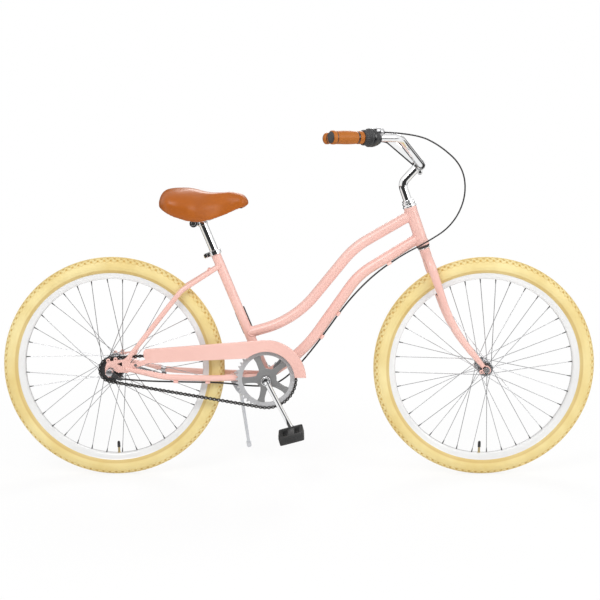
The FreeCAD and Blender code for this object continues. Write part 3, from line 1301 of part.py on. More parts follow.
def guard_face(inset):
    """Outline of the guard, drawn in from its edge by the inset."""
    outer = GUARD_OUTER_RADIUS - inset
    inner = GUARD_INNER_RADIUS + inset
    top_angle = math.radians(GUARD_TOP_ANGLE)
    front_z = GUARD_FRONT_Z + BOTTOM_BRACKET_DROP + inset
    belly_z = GUARD_BELLY_Z + BOTTOM_BRACKET_DROP + inset
    belly = math.pi - math.asin(belly_z / inner)

    def around(radius, angle):
        return bracket + V(radius * math.cos(angle), 0, radius * math.sin(angle))

    high = around(outer, top_angle)
    front_high = around(outer, math.asin(front_z / outer))
    front_low = around(inner, math.asin(front_z / inner))
    low = around(inner, belly)
    tail_top = over_axle(GUARD_TAIL_TOP[0] + inset, 0, GUARD_TAIL_TOP[1] - inset)
    tail_low = over_axle(GUARD_TAIL_BOTTOM[0] + inset, 0, GUARD_TAIL_BOTTOM[1] + inset)
    tail_end = (tail_top + tail_low) * 0.5 + V(-GUARD_TAIL_ROUND, 0, -GUARD_TAIL_ROUND / 4)
    edges = [
        Part.LineSegment(tail_top, high).toShape(),
        Part.Arc(high, around(outer, top_angle / 2), front_high).toShape(),
        Part.LineSegment(front_high, front_low).toShape(),
        Part.Arc(front_low, around(inner, belly / 2), low).toShape(),
        Part.LineSegment(low, tail_low).toShape(),
        Part.Arc(tail_low, tail_end, tail_top).toShape(),
    ]
    return Part.Face(Part.Wire(edges))


def chain_guard(down_skin):
    """Pressed guard: an open pan with a rounded front over the chainring."""
    guard_out = -REAR_SPACING / 2 - DROPOUT_THICKNESS - GUARD_SKIN
    block = guard_face(0.0).extrude(LEFT * GUARD_DEPTH)
    hollow = guard_face(GUARD_SKIN).extrude(LEFT * GUARD_DEPTH)
    hollow.translate(LEFT * GUARD_SKIN)
    pan = block.cut(hollow)
    pan.translate(LEFT * guard_out)
    low, lip, high = [(rear.x + x, rear.z + z) for x, z in GUARD_TAB]
    tail_x, tail_z = GUARD_TAIL_BOTTOM[0], tyre_radius + GUARD_TAIL_BOTTOM[1]
    tail_low, tail_high = [(tail_x + x, tail_z + z) for x, z in GUARD_TAB_ON_TAIL]
    tab = plate([low, lip, tail_low, tail_high, high], guard_out, guard_out + GUARD_SKIN)
    pan = pan.fuse(tab).removeSplitter()
    save(pan, "chain_guard")

    turn = math.radians(GUARD_BRACKET_ANGLE)
    ray = V(math.cos(turn), 0, math.sin(turn))
    across = V(-math.sin(turn), 0, math.cos(turn)) * (GUARD_BRACKET_WIDTH / 2)
    boss_y = -GUARD_BRACKET_PLACE
    far = (GUARD_OUTER_RADIUS + GUARD_INNER_RADIUS) / 2 + GUARD_BRACKET_RISE
    thick = GUARD_BRACKET_THICKNESS

    def strip(low, high, first_y, last_y):
        a = V(bracket.x, first_y, bracket.z) + ray * low
        b = V(bracket.x, first_y, bracket.z) + ray * high
        corners = [a + across, b + across, b - across, a - across]
        return Part.Face(Part.makePolygon(corners + corners[:1])).extrude(LEFT * (last_y - first_y))

    leg = strip(GUARD_BRACKET_REACH - GUARD_BRACKET_ROOT, far, boss_y - thick, boss_y)
    step = strip(far - thick, far, guard_out + GUARD_SKIN, boss_y)
    foot = strip(far - GUARD_BRACKET_FOOT, far, guard_out + GUARD_SKIN, guard_out + GUARD_SKIN + thick)
    arm = joined([leg, step, foot])
    bolt_at = V(bracket.x, 0, bracket.z) + ray * GUARD_BRACKET_REACH
    boss = rod(bolt_at, bolt_at + V(0, boss_y, 0), GUARD_BOSS_RADIUS)
    boss = min(boss.cut(down_skin).Solids, key=lambda solid: solid.CenterOfMass.y)
    front_bolt = bolt_at + V(0, boss_y - thick, 0)
    rear_bolt = rear + V(GUARD_REAR_BOLT[0], guard_out, GUARD_REAR_BOLT[1])
    bolts = []
    for place in (front_bolt, rear_bolt):
        bolts.append(prism(6, GUARD_BOLT_RADIUS, place, place + RIGHT * GUARD_BOLT_HEAD))
    save(Part.makeCompound([arm, boss] + bolts), "chain_guard_bracket")


# Kickstand

def kickstand():
    plate_low = tyre_radius + CHAIN_STAY_CORNERS[0][2] - STAND_PLATE_THICKNESS / 2
    pivot_z = tyre_radius + STAND_PIVOT_Z
    half = STAND_BLOCK_LENGTH / 2
    outline = [
        (STAND_PLATE_PLACE - half, plate_low), (STAND_PLATE_PLACE + half, plate_low),
        (STAND_PLATE_PLACE + half, plate_low - STAND_BLOCK_DEPTH),
        (STAND_PIVOT_X + STAND_EYE_RADIUS, pivot_z),
        (STAND_PIVOT_X, pivot_z - STAND_EYE_RADIUS), (STAND_PIVOT_X - STAND_EYE_RADIUS, pivot_z),
        (STAND_PLATE_PLACE - half, plate_low - STAND_BLOCK_DEPTH),
    ]
    block = plate(outline, STAND_BLOCK_RIGHT, STAND_BLOCK_LEFT)
    eye_in = STAND_BLOCK_LEFT + BODY_GAP
    eye_out = eye_in + STAND_EYE_WIDTH
    pin_start = V(STAND_PIVOT_X, STAND_BLOCK_LEFT, pivot_z)
    pin_end = V(STAND_PIVOT_X, eye_out, pivot_z)
    pin = rod(pin_start, pin_end, STAND_PIN_RADIUS)
    bolt_at = V(STAND_PLATE_PLACE, 0, plate_low + STAND_PLATE_THICKNESS)
    bolt = prism(6, STAND_BOLT_RADIUS, bolt_at, bolt_at + UP * STAND_BOLT_HEAD)
    save(Part.makeCompound([joined([block, pin]), bolt]), "kickstand_bracket")

    middle = V(STAND_PIVOT_X, (eye_in + eye_out) / 2, pivot_z)
    eye_start = V(middle.x, eye_in, middle.z)
    eye_end = V(middle.x, eye_out, middle.z)
    eye = rod(eye_start, eye_end, STAND_EYE_RADIUS)
    foot = over_axle(*STAND_FOOT)
    way = (foot - middle).normalize()
    leg = rod(middle, foot, STAND_LEG_RADIUS)
    pad = rod(foot - way * STAND_FOOT_LENGTH, foot, STAND_FOOT_RADIUS)
    body = joined([eye, leg, pad])
    body = body.cut(rod(eye_start, eye_end, STAND_PIN_RADIUS + RUN_FIT))
    room = V(STAND_BLOCK_LENGTH, 0, STAND_BLOCK_LENGTH)
    flat = box(eye_start - room - LEFT * STAND_BLOCK_LENGTH, eye_start + room)
    save(largest(body.cut(flat)), "kickstand_leg")


# Gear cable

def cable_bends(corners):
    """Largest even bends: each arc takes up to a set share of its shorter run."""
    bends = []
    for before, here, after in zip(corners, corners[1:], corners[2:]):
        short = min((here - before).Length, (after - here).Length)
        half_turn = (here - before).getAngle(after - here) / 2
        bends.append(CABLE_ARC_SHARE * short / math.tan(half_turn))
    return bends


def cable(corners, node):
    bends = cable_bends(corners)
    body = flat_pipe(corners, bends, CABLE_RADIUS, CABLE_SIDES)
    length = bent_path(corners, bends).Length
    section = CABLE_SIDES / 2 * CABLE_RADIUS ** 2 * math.sin(2 * math.pi / CABLE_SIDES)
    print(node, "radii", [round(bend) for bend in bends], "length", round(length))
    print(node, "volume over section times length", round(body.Volume / (section * length), 4))
    save(body, node)


def gear_cable(cable_start, down_skin, chain_skin):
    loop = [cable_start] + [over_axle(*place) for place in CABLE_LOOP]
    run = [over_axle(*place) for place in CABLE_RUN]
    cable(loop, "gear_cable_loop")
    cable(run, "gear_cable_run")
    guides = []
    stay = other_side(chain_skin)
    for number, share in CABLE_GUIDES:
        start, end = run[number], run[number + 1]
        way = (end - start).normalize()
        middle = start + (end - start) * share
        half = way * (GUIDE_LENGTH / 2)
        clip = prism(FLAT_SIDES, GUIDE_RADIUS, middle - half, middle + half)
        clip = clip.cut(prism(FLAT_SIDES, GUIDE_BORE, middle - half, middle + half))
        clip = clip.cut(down_skin if number < GUIDES_ON_DOWN_TUBE else stay)
        guides.append(largest(clip))
    save(Part.makeCompound(guides), "cable_guides")


os.makedirs("parts", exist_ok=True)
seat_solid, shell_solid, down_skin = frame_tubes()
chain_corners, chain_skin = rear_triangle(seat_solid, shell_solid)
front_wheel()
rear_wheel()
arm_inner, arm_outer, reach = rear_axle()
brake_arm(arm_inner, arm_outer, chain_corners, chain_skin)
bell_crank(reach)
chainring()
rear_sprocket()
chain()
cranks()
fork()
headset()
stem()
handlebar()
cable_start = shifter()
saddle_pivot = seat_post()
seat_clamp()
saddle(saddle_pivot)
chain_guard(down_skin)
kickstand()
gear_cable(cable_start, down_skin, chain_skin)
print("bottom bracket", bracket, "saddle pivot", saddle_pivot, "steering foot", steer_foot)
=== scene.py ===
# %% [markdown]
# # A beach cruiser bicycle, dressed for its picture
# The solids of the bicycle come in as a fixed frame, one object for each named piece.
# This file gives them their skins: smooth tubes, treaded tyres, wire spokes, a stuffed saddle.
# Every shape below is a function of two parameters worked out as numpy arrays.

# %% Load the frame
import math

import bmesh
import bpy
import numpy as np
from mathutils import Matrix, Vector


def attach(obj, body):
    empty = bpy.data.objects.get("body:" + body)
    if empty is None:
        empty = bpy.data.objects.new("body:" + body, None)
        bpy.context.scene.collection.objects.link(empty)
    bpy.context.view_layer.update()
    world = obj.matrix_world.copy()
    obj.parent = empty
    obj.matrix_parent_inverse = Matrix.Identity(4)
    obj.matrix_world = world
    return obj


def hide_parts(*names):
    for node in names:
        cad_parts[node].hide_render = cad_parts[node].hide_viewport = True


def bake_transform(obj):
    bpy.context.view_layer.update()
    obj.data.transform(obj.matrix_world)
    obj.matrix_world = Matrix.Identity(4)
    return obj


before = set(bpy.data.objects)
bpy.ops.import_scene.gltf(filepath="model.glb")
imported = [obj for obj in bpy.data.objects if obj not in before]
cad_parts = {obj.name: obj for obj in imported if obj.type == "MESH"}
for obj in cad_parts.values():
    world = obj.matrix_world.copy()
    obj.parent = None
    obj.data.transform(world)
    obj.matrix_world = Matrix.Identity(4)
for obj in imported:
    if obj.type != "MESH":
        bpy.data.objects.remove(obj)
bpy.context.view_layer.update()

scene = bpy.context.scene

# %% [markdown]
# ## Camera
# The photograph shows the drive side from about three metres, a little above the saddle.
# A long lens held level across the bicycle and tipped down by a few degrees gives that view.

# %% Camera
camera = bpy.data.objects.new("camera", bpy.data.cameras.new("camera"))
camera.data.sensor_width = 36.0
camera.data.lens = 63.883
camera.location = (0.00285, -3.156, 1.0)
camera.rotation_euler = (math.radians(90.0 - 8.36), 0.0, 0.0)
scene.collection.objects.link(camera)
scene.camera = camera
print("camera height", camera.location.z)

# %% [markdown]
# ## From grids of points to meshes
# A skin is a grid: rows run along the piece and columns run round it. Before the grids come a few
# measures of lines and directions; lengths are in millimetres until a grid is joined into a mesh.

# %% Lines and directions
MM = 0.001
Y_AXIS = np.array([0.0, 1.0, 0.0])
UP = np.array([0.0, 0.0, 1.0])


def unit(v):
    """Vectors divided by their lengths."""
    return v / np.linalg.norm(v, axis=-1, keepdims=True)


def run_of(line):
    """Distance along a line at each of its points."""
    return np.r_[0, np.cumsum(np.linalg.norm(np.diff(line, axis=0), axis=1))]


def facing(degrees):
    """The direction at an angle, in a plane."""
    return np.array([math.cos(math.radians(degrees)), math.sin(math.radians(degrees))])


def square_to(v):
    """A direction in a plane after a quarter turn."""
    return np.array([-v[1], v[0]])


def arc(radius, start, stop, count):
    """Places on a circle in a plane, between two angles in degrees."""
    angle = np.radians(np.linspace(start, stop, count))
    return radius * np.stack([np.cos(angle), np.sin(angle)], -1)


def around(count):
    """Angles of even steps round a circle."""
    return np.linspace(0, 2 * np.pi, count, endpoint=False)


def spokes(angle, first, second):
    """Directions round a circle: cos a times the first direction plus sin a times the second."""
    return np.cos(angle)[:, None] * first[..., None, :] + np.sin(angle)[:, None] * second[..., None, :]


def flat(place):
    """X and Z of a place."""
    return np.asarray(place, float)[[0, 2]]


# %% [markdown]
# ## Lathe work
# One helper joins a grid into quads. Another spins a profile about a line, as a lathe does, after the
# corners of the profile have been rounded a little so that they catch the light.

# %% Grids and lathe work
def shell(grid, ring=False, caps=True, size=(1.0, 1.0)):
    """Quads between neighbouring grid points; columns close on themselves, rows do if ring is set.
    The map runs over size metres along the rows and round the columns."""
    rows, cols = grid.shape[:2]
    here = np.arange(rows * cols).reshape(rows, cols)
    ahead = np.roll(here, -1, 1)
    if ring:
        quads = np.stack([here, ahead, np.roll(ahead, -1, 0), np.roll(here, -1, 0)], -1)
    else:
        quads = np.stack([here[:-1], ahead[:-1], ahead[1:], here[1:]], -1)
    u, v = np.meshgrid(np.arange(quads.shape[0]), np.arange(cols), indexing="ij")
    steps = np.array([[0, 0], [0, 1], [1, 1], [1, 0]])
    uv = (np.stack([u, v], -1)[:, :, None] + steps) * [size[0] / quads.shape[0], size[1] / cols]
    ends = [] if ring or not caps else [here[0, ::-1], here[-1]]
    return grid.reshape(-1, 3), quads.reshape(-1, 4), ends, uv.reshape(-1, 4, 2)


def across(axis):
    """Two directions square to an axis, right-handed with it."""
    axis = unit(np.asarray(axis, float))
    guide = np.eye(3)[np.argmin(np.abs(axis))]
    first = unit(np.cross(guide, axis))
    return first, np.cross(axis, first), axis


def shortened(edges, length):
    """Edges cut to a length, or to just under half of themselves where they are short."""
    return np.minimum(length / np.maximum(np.linalg.norm(edges, axis=1), 1e-9), 0.45)[:, None] * edges


def eased(profile, radius, closed=False, steps=3):
    """Corners of a profile rounded by short parabolas that start a radius before each corner."""
    points = np.asarray(profile, float)
    before, after = np.roll(points, 1, 0), np.roll(points, -1, 0)
    start, end = [points + shortened(way, radius) for way in (before - points, after - points)]
    t = np.linspace(0.0, 1.0, steps + 1)[None, :, None]
    curves = (1 - t) ** 2 * start[:, None] + 2 * t * (1 - t) * points[:, None] + t ** 2 * end[:, None]
    if closed:
        return curves.reshape(-1, points.shape[1])
    inner = curves[1:-1].reshape(-1, points.shape[1])
    return np.concatenate([points[:1], inner, points[-1:]])


def spin(profile, base, axis, sides=64, ease=0.0, ring=False, flutes=None):
    """Lathe work, in millimetres: each radius and height of the profile is carried round the axis.
    Flutes are a count, a depth and the two heights between which the radius dips that often."""
    line = eased(profile, ease, ring) if ease else np.asarray(profile, float)
    first, second, axis = across(axis)
    angle = around(sides)
    radius = np.repeat(line[:, :1], sides, 1)
    if flutes:
        count, depth, low, high = flutes
        inside = (line[:, 1] > low) & (line[:, 1] < high)
        radius[inside] -= depth * (0.5 + 0.5 * np.cos(count * angle))
    grid = MM * (base + radius[..., None] * spokes(angle, first, second) + line[:, 1:, None] * axis)
    length = run_of(line)[-1] * MM
    return shell(grid, ring=ring, caps=not ring, size=(length, 2 * np.pi * line[:, 0].max() * MM))


def sleeve(inner, outer, low, high):
    """Profile of a plain ring: two radii between two heights."""
    return [(inner, low), (outer, low), (outer, high), (inner, high)]


def balanced(*half):
    """A profile whose second half is the first half's mirror image."""
    return [*half, *[(radius, -height) for radius, height in reversed(half)]]


def both_sides(profile, base, sides, ease=0.0, ring=True):
    """The same lathe work on the left and on the right of a place."""
    return [spin(profile, base, Y_AXIS * side, sides, ease, ring=ring) for side in (1, -1)]


# %% [markdown]
# ## Bent tubes
# A pipe bender leaves straight runs and round bends, so a tube's line is a chain of straights and arcs.
# A circle carried along that line is the tube.

# %% Bent tubes
def bent(corners, bends, step=4.0):
    """Straight runs joined by tangent arcs, in millimetres: the points and the length at each run's ends."""
    corners = np.asarray(corners, float)
    points, marks = [corners[:1]], [0.0]
    start, total = corners[0], 0.0
    for before, here, after, bend in zip(corners, corners[1:], corners[2:], bends):
        back, on = unit(before - here), unit(after - here)
        half = np.arccos(np.clip(back @ on, -1, 1)) / 2
        first, last = here + back * bend / np.tan(half), here + on * bend / np.tan(half)
        centre = here + unit(back + on) * bend / np.sin(half)
        sweep = np.pi - 2 * half
        t = np.linspace(0, sweep, max(4, int(bend * sweep / step)) + 1)[:, None]
        curve = centre + np.cos(t) * (first - centre) - np.sin(t) * back * bend
        run = np.linalg.norm(first - start)
        n = max(1, int(run / (4 * step)))
        points += [start + (first - start) * np.linspace(0, 1, n + 1)[1:, None], curve[1:]]
        marks += [total + run, total + run + bend * sweep]
        total, start = marks[-1], last
    n = max(1, int(np.linalg.norm(corners[-1] - start) / (4 * step)))
    points.append(start + (corners[-1] - start) * np.linspace(0, 1, n + 1)[1:, None])
    marks.append(total + np.linalg.norm(corners[-1] - start))
    return np.concatenate(points), np.array(marks)


def tube(path, radii, sides=40, ring=False, rounded=0.0):
    """A circle carried along a path in millimetres: each point is path + r (cos a N + sin a B),
    with N and B square to the path's direction. Rounded ends shrink over a quarter circle."""
    path = np.asarray(path, float)
    radii = np.broadcast_to(np.asarray(radii, float), len(path)).copy()
    if ring:
        way = unit(np.roll(path, -1, 0) - np.roll(path, 1, 0))
    else:
        way = unit(np.gradient(path, axis=0))
    if rounded:
        t = np.linspace(0, np.pi / 2, 6)
        out, less = rounded * np.sin(t)[1:, None], rounded * (1 - np.cos(t))[1:]
        path = np.concatenate([path[0] - way[0] * out[::-1], path, path[-1] + way[-1] * out])
        radii = np.concatenate([radii[0] - less[::-1], radii, radii[-1] - less])
        way = np.concatenate([np.repeat(way[:1], 5, 0), way, np.repeat(way[-1:], 5, 0)])
    guide = np.eye(3)[np.argmin(np.abs(way).max(0))]
    first = unit(np.cross(guide, way))
    second = np.cross(way, first)
    grid = path[:, None] + radii[:, None, None] * spokes(around(sides), first, second)
    length = run_of(path)[-1] * MM
    return shell(grid * MM, ring=ring, size=(length, 2 * np.pi * radii.max() * MM))


# %% [markdown]
# ## Pressed sheets and repeated parts
# Flat parts are outlines carried a short way across the bicycle, drawn in a little at both faces.
# A small part that repeats, such as a chain link, is worked out once and set at every place by one product.

# %% Pressed sheets and copies
def inset(outline, amount):
    """An outline drawn in by an amount along the mitre of its two edges at each corner."""
    ahead = np.roll(outline, -1, 0)
    edge = unit(ahead - outline)
    out = np.stack([edge[:, 1], -edge[:, 0]], -1)
    mitre = out + np.roll(out, 1, 0)
    mitre = mitre / np.maximum((mitre * out).sum(1, keepdims=True), 0.35)
    turn = np.sign((outline[:, 0] * ahead[:, 1] - ahead[:, 0] * outline[:, 1]).sum())
    return outline - turn * amount * mitre


def pressed(outline, steps):
    """A sheet cut to an outline of X and Z: the outline is carried through steps of inset and Y."""
    outline = np.asarray(outline, float)
    rings = [inset(outline, amount) for amount, _ in steps]
    grid = [np.insert(ring, 1, y, axis=1) for ring, (_, y) in zip(rings, steps)]
    return shell(np.array(grid) * MM)


def copies(part, origins, axes):
    """The same small shell set at many places: its points are turned by each place's axes, then moved."""
    points, quads, ends, uv = part
    count, size = len(origins), len(points)
    moved = np.asarray(origins)[:, None] + np.einsum("pi,kij->kpj", points, np.asarray(axes))
    shift = (np.arange(count) * size)[:, None, None]
    many_ends = [end + k * size for k in range(count) for end in ends]
    many_quads = (quads[None] + shift).reshape(-1, 4)
    return moved.reshape(-1, 3), many_quads, many_ends, np.tile(uv, (count, 1, 1))


# %% [markdown]
# ## From shells to one piece
# Several shells become one mesh object. It takes a finish, rides on a body of the bicycle and may stand
# in for solids of the frame.

# %% Pieces
def piece(name, shells, material, body, *nodes, slot=None, sharp=38.0):
    """One mesh object from several shells, welded, facing outwards, riding on its body."""
    offset, points, faces, maps = 0, [], [], []
    for part_points, quads, ends, uv in shells:
        points.append(part_points)
        faces += (quads + offset).tolist() + [(end + offset).tolist() for end in ends]
        maps += [uv.reshape(-1, 2), np.zeros((sum(len(end) for end in ends), 2))]
        offset += len(part_points)
    mesh = bpy.data.meshes.new(name)
    mesh.from_pydata(np.concatenate(points), [], faces)
    mesh.uv_layers.new(name="UVMap").data.foreach_set("uv", np.concatenate(maps).astype(np.float32).ravel())
    work = bmesh.new()
    work.from_mesh(mesh)
    bmesh.ops.remove_doubles(work, verts=work.verts, dist=2e-6)
    bmesh.ops.recalc_face_normals(work, faces=work.faces)
    work.to_mesh(mesh)
    work.free()
    mesh.polygons.foreach_set("use_smooth", np.ones(len(mesh.polygons), bool))
    mesh.set_sharp_from_angle(angle=math.radians(sharp))
    obj = bpy.data.objects.new(name, mesh)
    scene.collection.objects.link(obj)
    mesh.materials.append(material)
    if body:
        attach(obj, body)
    if nodes:
        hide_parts(*nodes)
    print(name, "faces", len(mesh.polygons))
    return obj


# %% [markdown]
# ## Short names for shader nodes
# A finish is a small chart of nodes. These helpers set a node and link it in one line.

# %% Node helpers
def new_group(name, inputs, outputs):
    """A shader node group with float inputs and outputs, and its two end nodes."""
    tree = bpy.data.node_groups.new(name, "ShaderNodeTree")
    for label, value in inputs:
        socket = tree.interface.new_socket(label, in_out="INPUT", socket_type="NodeSocketFloat")
        socket.default_value = value
    for label in outputs:
        tree.interface.new_socket(label, in_out="OUTPUT", socket_type="NodeSocketFloat")
    return tree, tree.nodes.new("NodeGroupInput"), tree.nodes.new("NodeGroupOutput")


def put(tree, kind, settings=None, **inputs):
    """A node with its settings and inputs; an input given as a socket is linked."""
    node = tree.nodes.new(kind)
    for key, value in (settings or {}).items():
        setattr(node, key, value)
    for key, value in inputs.items():
        socket = node.inputs[int(key[1:])] if key[0] == "_" else node.inputs[key.replace("_", " ")]
        if isinstance(value, bpy.types.NodeSocket):
            tree.links.new(value, socket)
        else:
            socket.default_value = value
    return node


def maths(tree, operation, first, second=0.0):
    """One sum, product or the like of two numbers."""
    return put(tree, "ShaderNodeMath", {"operation": operation}, _0=first, _1=second).outputs["Value"]


def remap(tree, value, low, high, to_low=0.0, to_high=1.0):
    """A number carried from one range to another, held at both ends."""
    ranges = {"From_Min": low, "From_Max": high, "To_Min": to_low, "To_Max": to_high}
    return put(tree, "ShaderNodeMapRange", Value=value, **ranges).outputs["Result"]


def tint(tree, share, first, second):
    """A mix of two colours."""
    return put(tree, "ShaderNodeMix", {"data_type": "RGBA"}, _0=share, _6=first, _7=second).outputs[2]


def between(tree, share, first, second):
    """A mix of two numbers."""
    return put(tree, "ShaderNodeMix", {"data_type": "FLOAT"}, _0=share, _2=first, _3=second).outputs[0]


def noise(tree, place, scale, detail):
    """Soft noise between 0 and 1."""
    return put(tree, "ShaderNodeTexNoise", Vector=place, Scale=scale, Detail=detail).outputs["Fac"]


def sideways(tree, vector):
    """How far a vector points to either side of the bicycle."""
    return maths(tree, "ABSOLUTE", put(tree, "ShaderNodeSeparateXYZ", Vector=vector).outputs["Y"])


# %% [markdown]
# ## Effects that several finishes share
# Real surfaces are never one flat colour. Three small node groups give soft clouds and fine specks,
# the pebbles of leather with painted shade in their creases, and the fine lines that wiping leaves on metal.

# %% Shared effects
mottle, enter, leave = new_group("mottle", [("Cloud scale", 9.0), ("Speck scale", 900.0)],
                                 ["Clouds", "Specks"])
place = put(mottle, "ShaderNodeTexCoord").outputs["Object"]
mottle.links.new(noise(mottle, place, enter.outputs["Cloud scale"], 4.0), leave.inputs["Clouds"])
mottle.links.new(noise(mottle, place, enter.outputs["Speck scale"], 2.0), leave.inputs["Specks"])

pebbles, enter, leave = new_group("pebbles", [("Scale", 420.0)], ["Height", "crease_shade"])
place = put(pebbles, "ShaderNodeTexCoord").outputs["Object"]
edges = {"feature": "DISTANCE_TO_EDGE"}
cells = put(pebbles, "ShaderNodeTexVoronoi", edges, Vector=place, Scale=enter.outputs["Scale"])
bulge = remap(pebbles, cells.outputs["Distance"], 0.0, 0.28)
pores = noise(pebbles, place, 70.0, 3.0)
pebbles.links.new(maths(pebbles, "MULTIPLY", bulge, pores), leave.inputs["Height"])
# Painted shade: the creases between pebbles darken the colour.
pebbles.links.new(maths(pebbles, "SUBTRACT", 1.0, bulge), leave.inputs["crease_shade"])

wiping, enter, leave = new_group("wiping", [("Scale", 60.0), ("Stretch", 22.0)], ["Lines"])
place = put(wiping, "ShaderNodeTexCoord").outputs["Object"]
tall = put(wiping, "ShaderNodeCombineXYZ", X=enter.outputs["Stretch"], Y=enter.outputs["Stretch"], Z=1.0)
long = put(wiping, "ShaderNodeVectorMath", {"operation": "MULTIPLY"}, _0=place, _1=tall.outputs["Vector"])
lines = noise(wiping, long.outputs["Vector"], enter.outputs["Scale"], 3.0)
wiping.links.new(lines, leave.inputs["Lines"])
print("groups", [group.name for group in bpy.data.node_groups])

# %% [markdown]
# ## Finishes
# Each finish is one Principled shader whose colour, roughness and bump vary over the surface.
# The paint has a clear coat, chrome is almost a mirror, rubber is dull and a little dusty.

# %% Finishes
def finish(name, dark, light, rough, metal=0.0, coat=0.0, bump=0.05, clouds=8.0, specks=900.0,
           source="mottle", depth=0.0003, shade_colour=None, **fixed):
    """A finish between two colours and two roughnesses, with bump from the named effect.
    A shade colour is painted where the mesh carries a groove value: painted shade in recesses."""
    material = bpy.data.materials.new(name)
    material.use_nodes = True
    tree = material.node_tree
    shader = tree.nodes["Principled BSDF"]
    soft = put(tree, "ShaderNodeGroup", {"node_tree": mottle}, Cloud_scale=clouds, Speck_scale=specks)
    mask, height = soft.outputs["Clouds"], soft.outputs["Specks"]
    if source == "pebbles":
        grain = put(tree, "ShaderNodeGroup", {"node_tree": pebbles}, Scale=specks)
        height = grain.outputs["Height"]
        # Painted shade: the hide is darker along the creases between pebbles.
        mask = maths(tree, "ADD", maths(tree, "MULTIPLY", grain.outputs["crease_shade"], -0.35), mask)
    if source == "wiping":
        height = put(tree, "ShaderNodeGroup", {"node_tree": wiping}, Scale=specks).outputs["Lines"]
    colour = tint(tree, remap(tree, mask, 0.3, 0.7), (*dark, 1), (*light, 1))
    # Painted shade: where the groove attribute is set, the colour turns to the darker shade colour.
    if shade_colour:
        groove = put(tree, "ShaderNodeAttribute", {"attribute_name": "groove"})
        colour = tint(tree, groove.outputs["Fac"], colour, (*shade_colour, 1))
    tree.links.new(colour, shader.inputs["Base Color"])
    tree.links.new(remap(tree, height, 0.25, 0.75, *rough), shader.inputs["Roughness"])
    relief = put(tree, "ShaderNodeBump", Height=height, Strength=bump, Distance=depth)
    tree.links.new(relief.outputs["Normal"], shader.inputs["Normal"])
    shader.inputs["Metallic"].default_value = metal
    shader.inputs["Coat Weight"].default_value = coat
    shader.inputs["Coat Roughness"].default_value = 0.04
    for key, value in fixed.items():
        shader.inputs[key.replace("_", " ")].default_value = value
    return material


pink = finish("pink_paint", (0.85, 0.505, 0.44), (0.90, 0.56, 0.492), (0.36, 0.38), coat=0.3, bump=0.004,
              depth=0.00002, Coat_Roughness=0.2)
chrome = finish("chrome", (0.84, 0.85, 0.86), (0.92, 0.92, 0.92), (0.04, 0.08), metal=1.0, bump=0.004,
                source="wiping")
steel = finish("zinc_steel", (0.46, 0.46, 0.47), (0.62, 0.62, 0.63), (0.25, 0.42), metal=1.0, bump=0.06,
               source="wiping")
dark_steel = finish("dark_steel", (0.05, 0.05, 0.052), (0.10, 0.10, 0.10), (0.3, 0.45), metal=0.7, bump=0.05)
spoke_wire = finish("spoke_wire", (0.36, 0.36, 0.37), (0.48, 0.48, 0.49), (0.24, 0.36), metal=1.0, bump=0.02)
grey_steel = finish("grey_steel", (0.23, 0.23, 0.23), (0.28, 0.28, 0.28), (0.38, 0.5), metal=0.2, bump=0.05)
ring_steel = finish("ring_steel", (0.50, 0.50, 0.51), (0.60, 0.60, 0.61), (0.28, 0.4), metal=0.3, bump=0.05,
                    source="wiping")
cast = finish("cast_alloy", (0.56, 0.58, 0.61), (0.68, 0.69, 0.72), (0.36, 0.5), metal=0.5, bump=0.1,
              specks=1200.0)
oiled = finish("oiled_chain", (0.045, 0.043, 0.042), (0.11, 0.105, 0.10), (0.3, 0.5), metal=0.8, bump=0.08,
               clouds=60.0)
plastic = finish("black_plastic", (0.008, 0.008, 0.009), (0.014, 0.014, 0.015), (0.2, 0.32), coat=0.2,
                 bump=0.08, specks=2400.0)
dull_plastic = finish("grey_plastic", (0.028, 0.028, 0.029), (0.045, 0.045, 0.047), (0.4, 0.55), bump=0.12,
                      specks=2000.0)
rubber = finish("black_rubber", (0.016, 0.016, 0.016), (0.035, 0.035, 0.035), (0.55, 0.7), bump=0.2,
                specks=2600.0)
sheath = finish("cable_sheath", (0.014, 0.014, 0.015), (0.026, 0.026, 0.027), (0.3, 0.42), bump=0.05,
                clouds=40.0)
# The tyre's darker cuts, tread edge and bead line are painted shade.
cream = finish("cream_rubber", (0.77, 0.595, 0.235), (0.87, 0.735, 0.36), (0.55, 0.72), bump=0.14, clouds=9.0,
               specks=1500.0, shade_colour=(0.57, 0.34, 0.075))
enamel = finish("white_enamel", (0.80, 0.80, 0.80), (0.86, 0.86, 0.855), (0.22, 0.3), coat=0.4, bump=0.004)
brass = finish("brass", (0.42, 0.33, 0.16), (0.56, 0.45, 0.24), (0.25, 0.4), metal=1.0, bump=0.05)
hide = finish("saddle_hide", (0.40, 0.098, 0.005), (0.52, 0.145, 0.012), (0.36, 0.46), bump=0.08,
              source="pebbles", specks=620.0, clouds=14.0, Specular_IOR_Level=0.35)
grip_hide = finish("grip_hide", (0.42, 0.125, 0.014), (0.52, 0.175, 0.026), (0.45, 0.58), bump=0.06,
                   source="pebbles", specks=900.0, clouds=30.0, Specular_IOR_Level=0.3)
print("finishes", len(bpy.data.materials))

# %% [markdown]
# ## Solids that keep their own shape
# Flat plates, clips and brackets are right as they are, so they only get a finish; the rest of the
# frame's solids are painted.

# %% Finishes for the solids
DRESS = {
    "chain_guard_bracket": steel, "kickstand_bracket": cast, "brake_arm": steel, "rear_sprocket": dark_steel,
    "crank_spindles": dark_steel, "saddle_base": plastic,
}
for name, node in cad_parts.items():
    node.data.materials.clear()
    node.data.materials.append(DRESS.get(name, pink))
print("dressed", len(DRESS))

# %% [markdown]
# ## The main lines of the bicycle
# Everything hangs on a few points: the two axles, the bottom bracket, and the lines of the
# seat tube and of the steering.

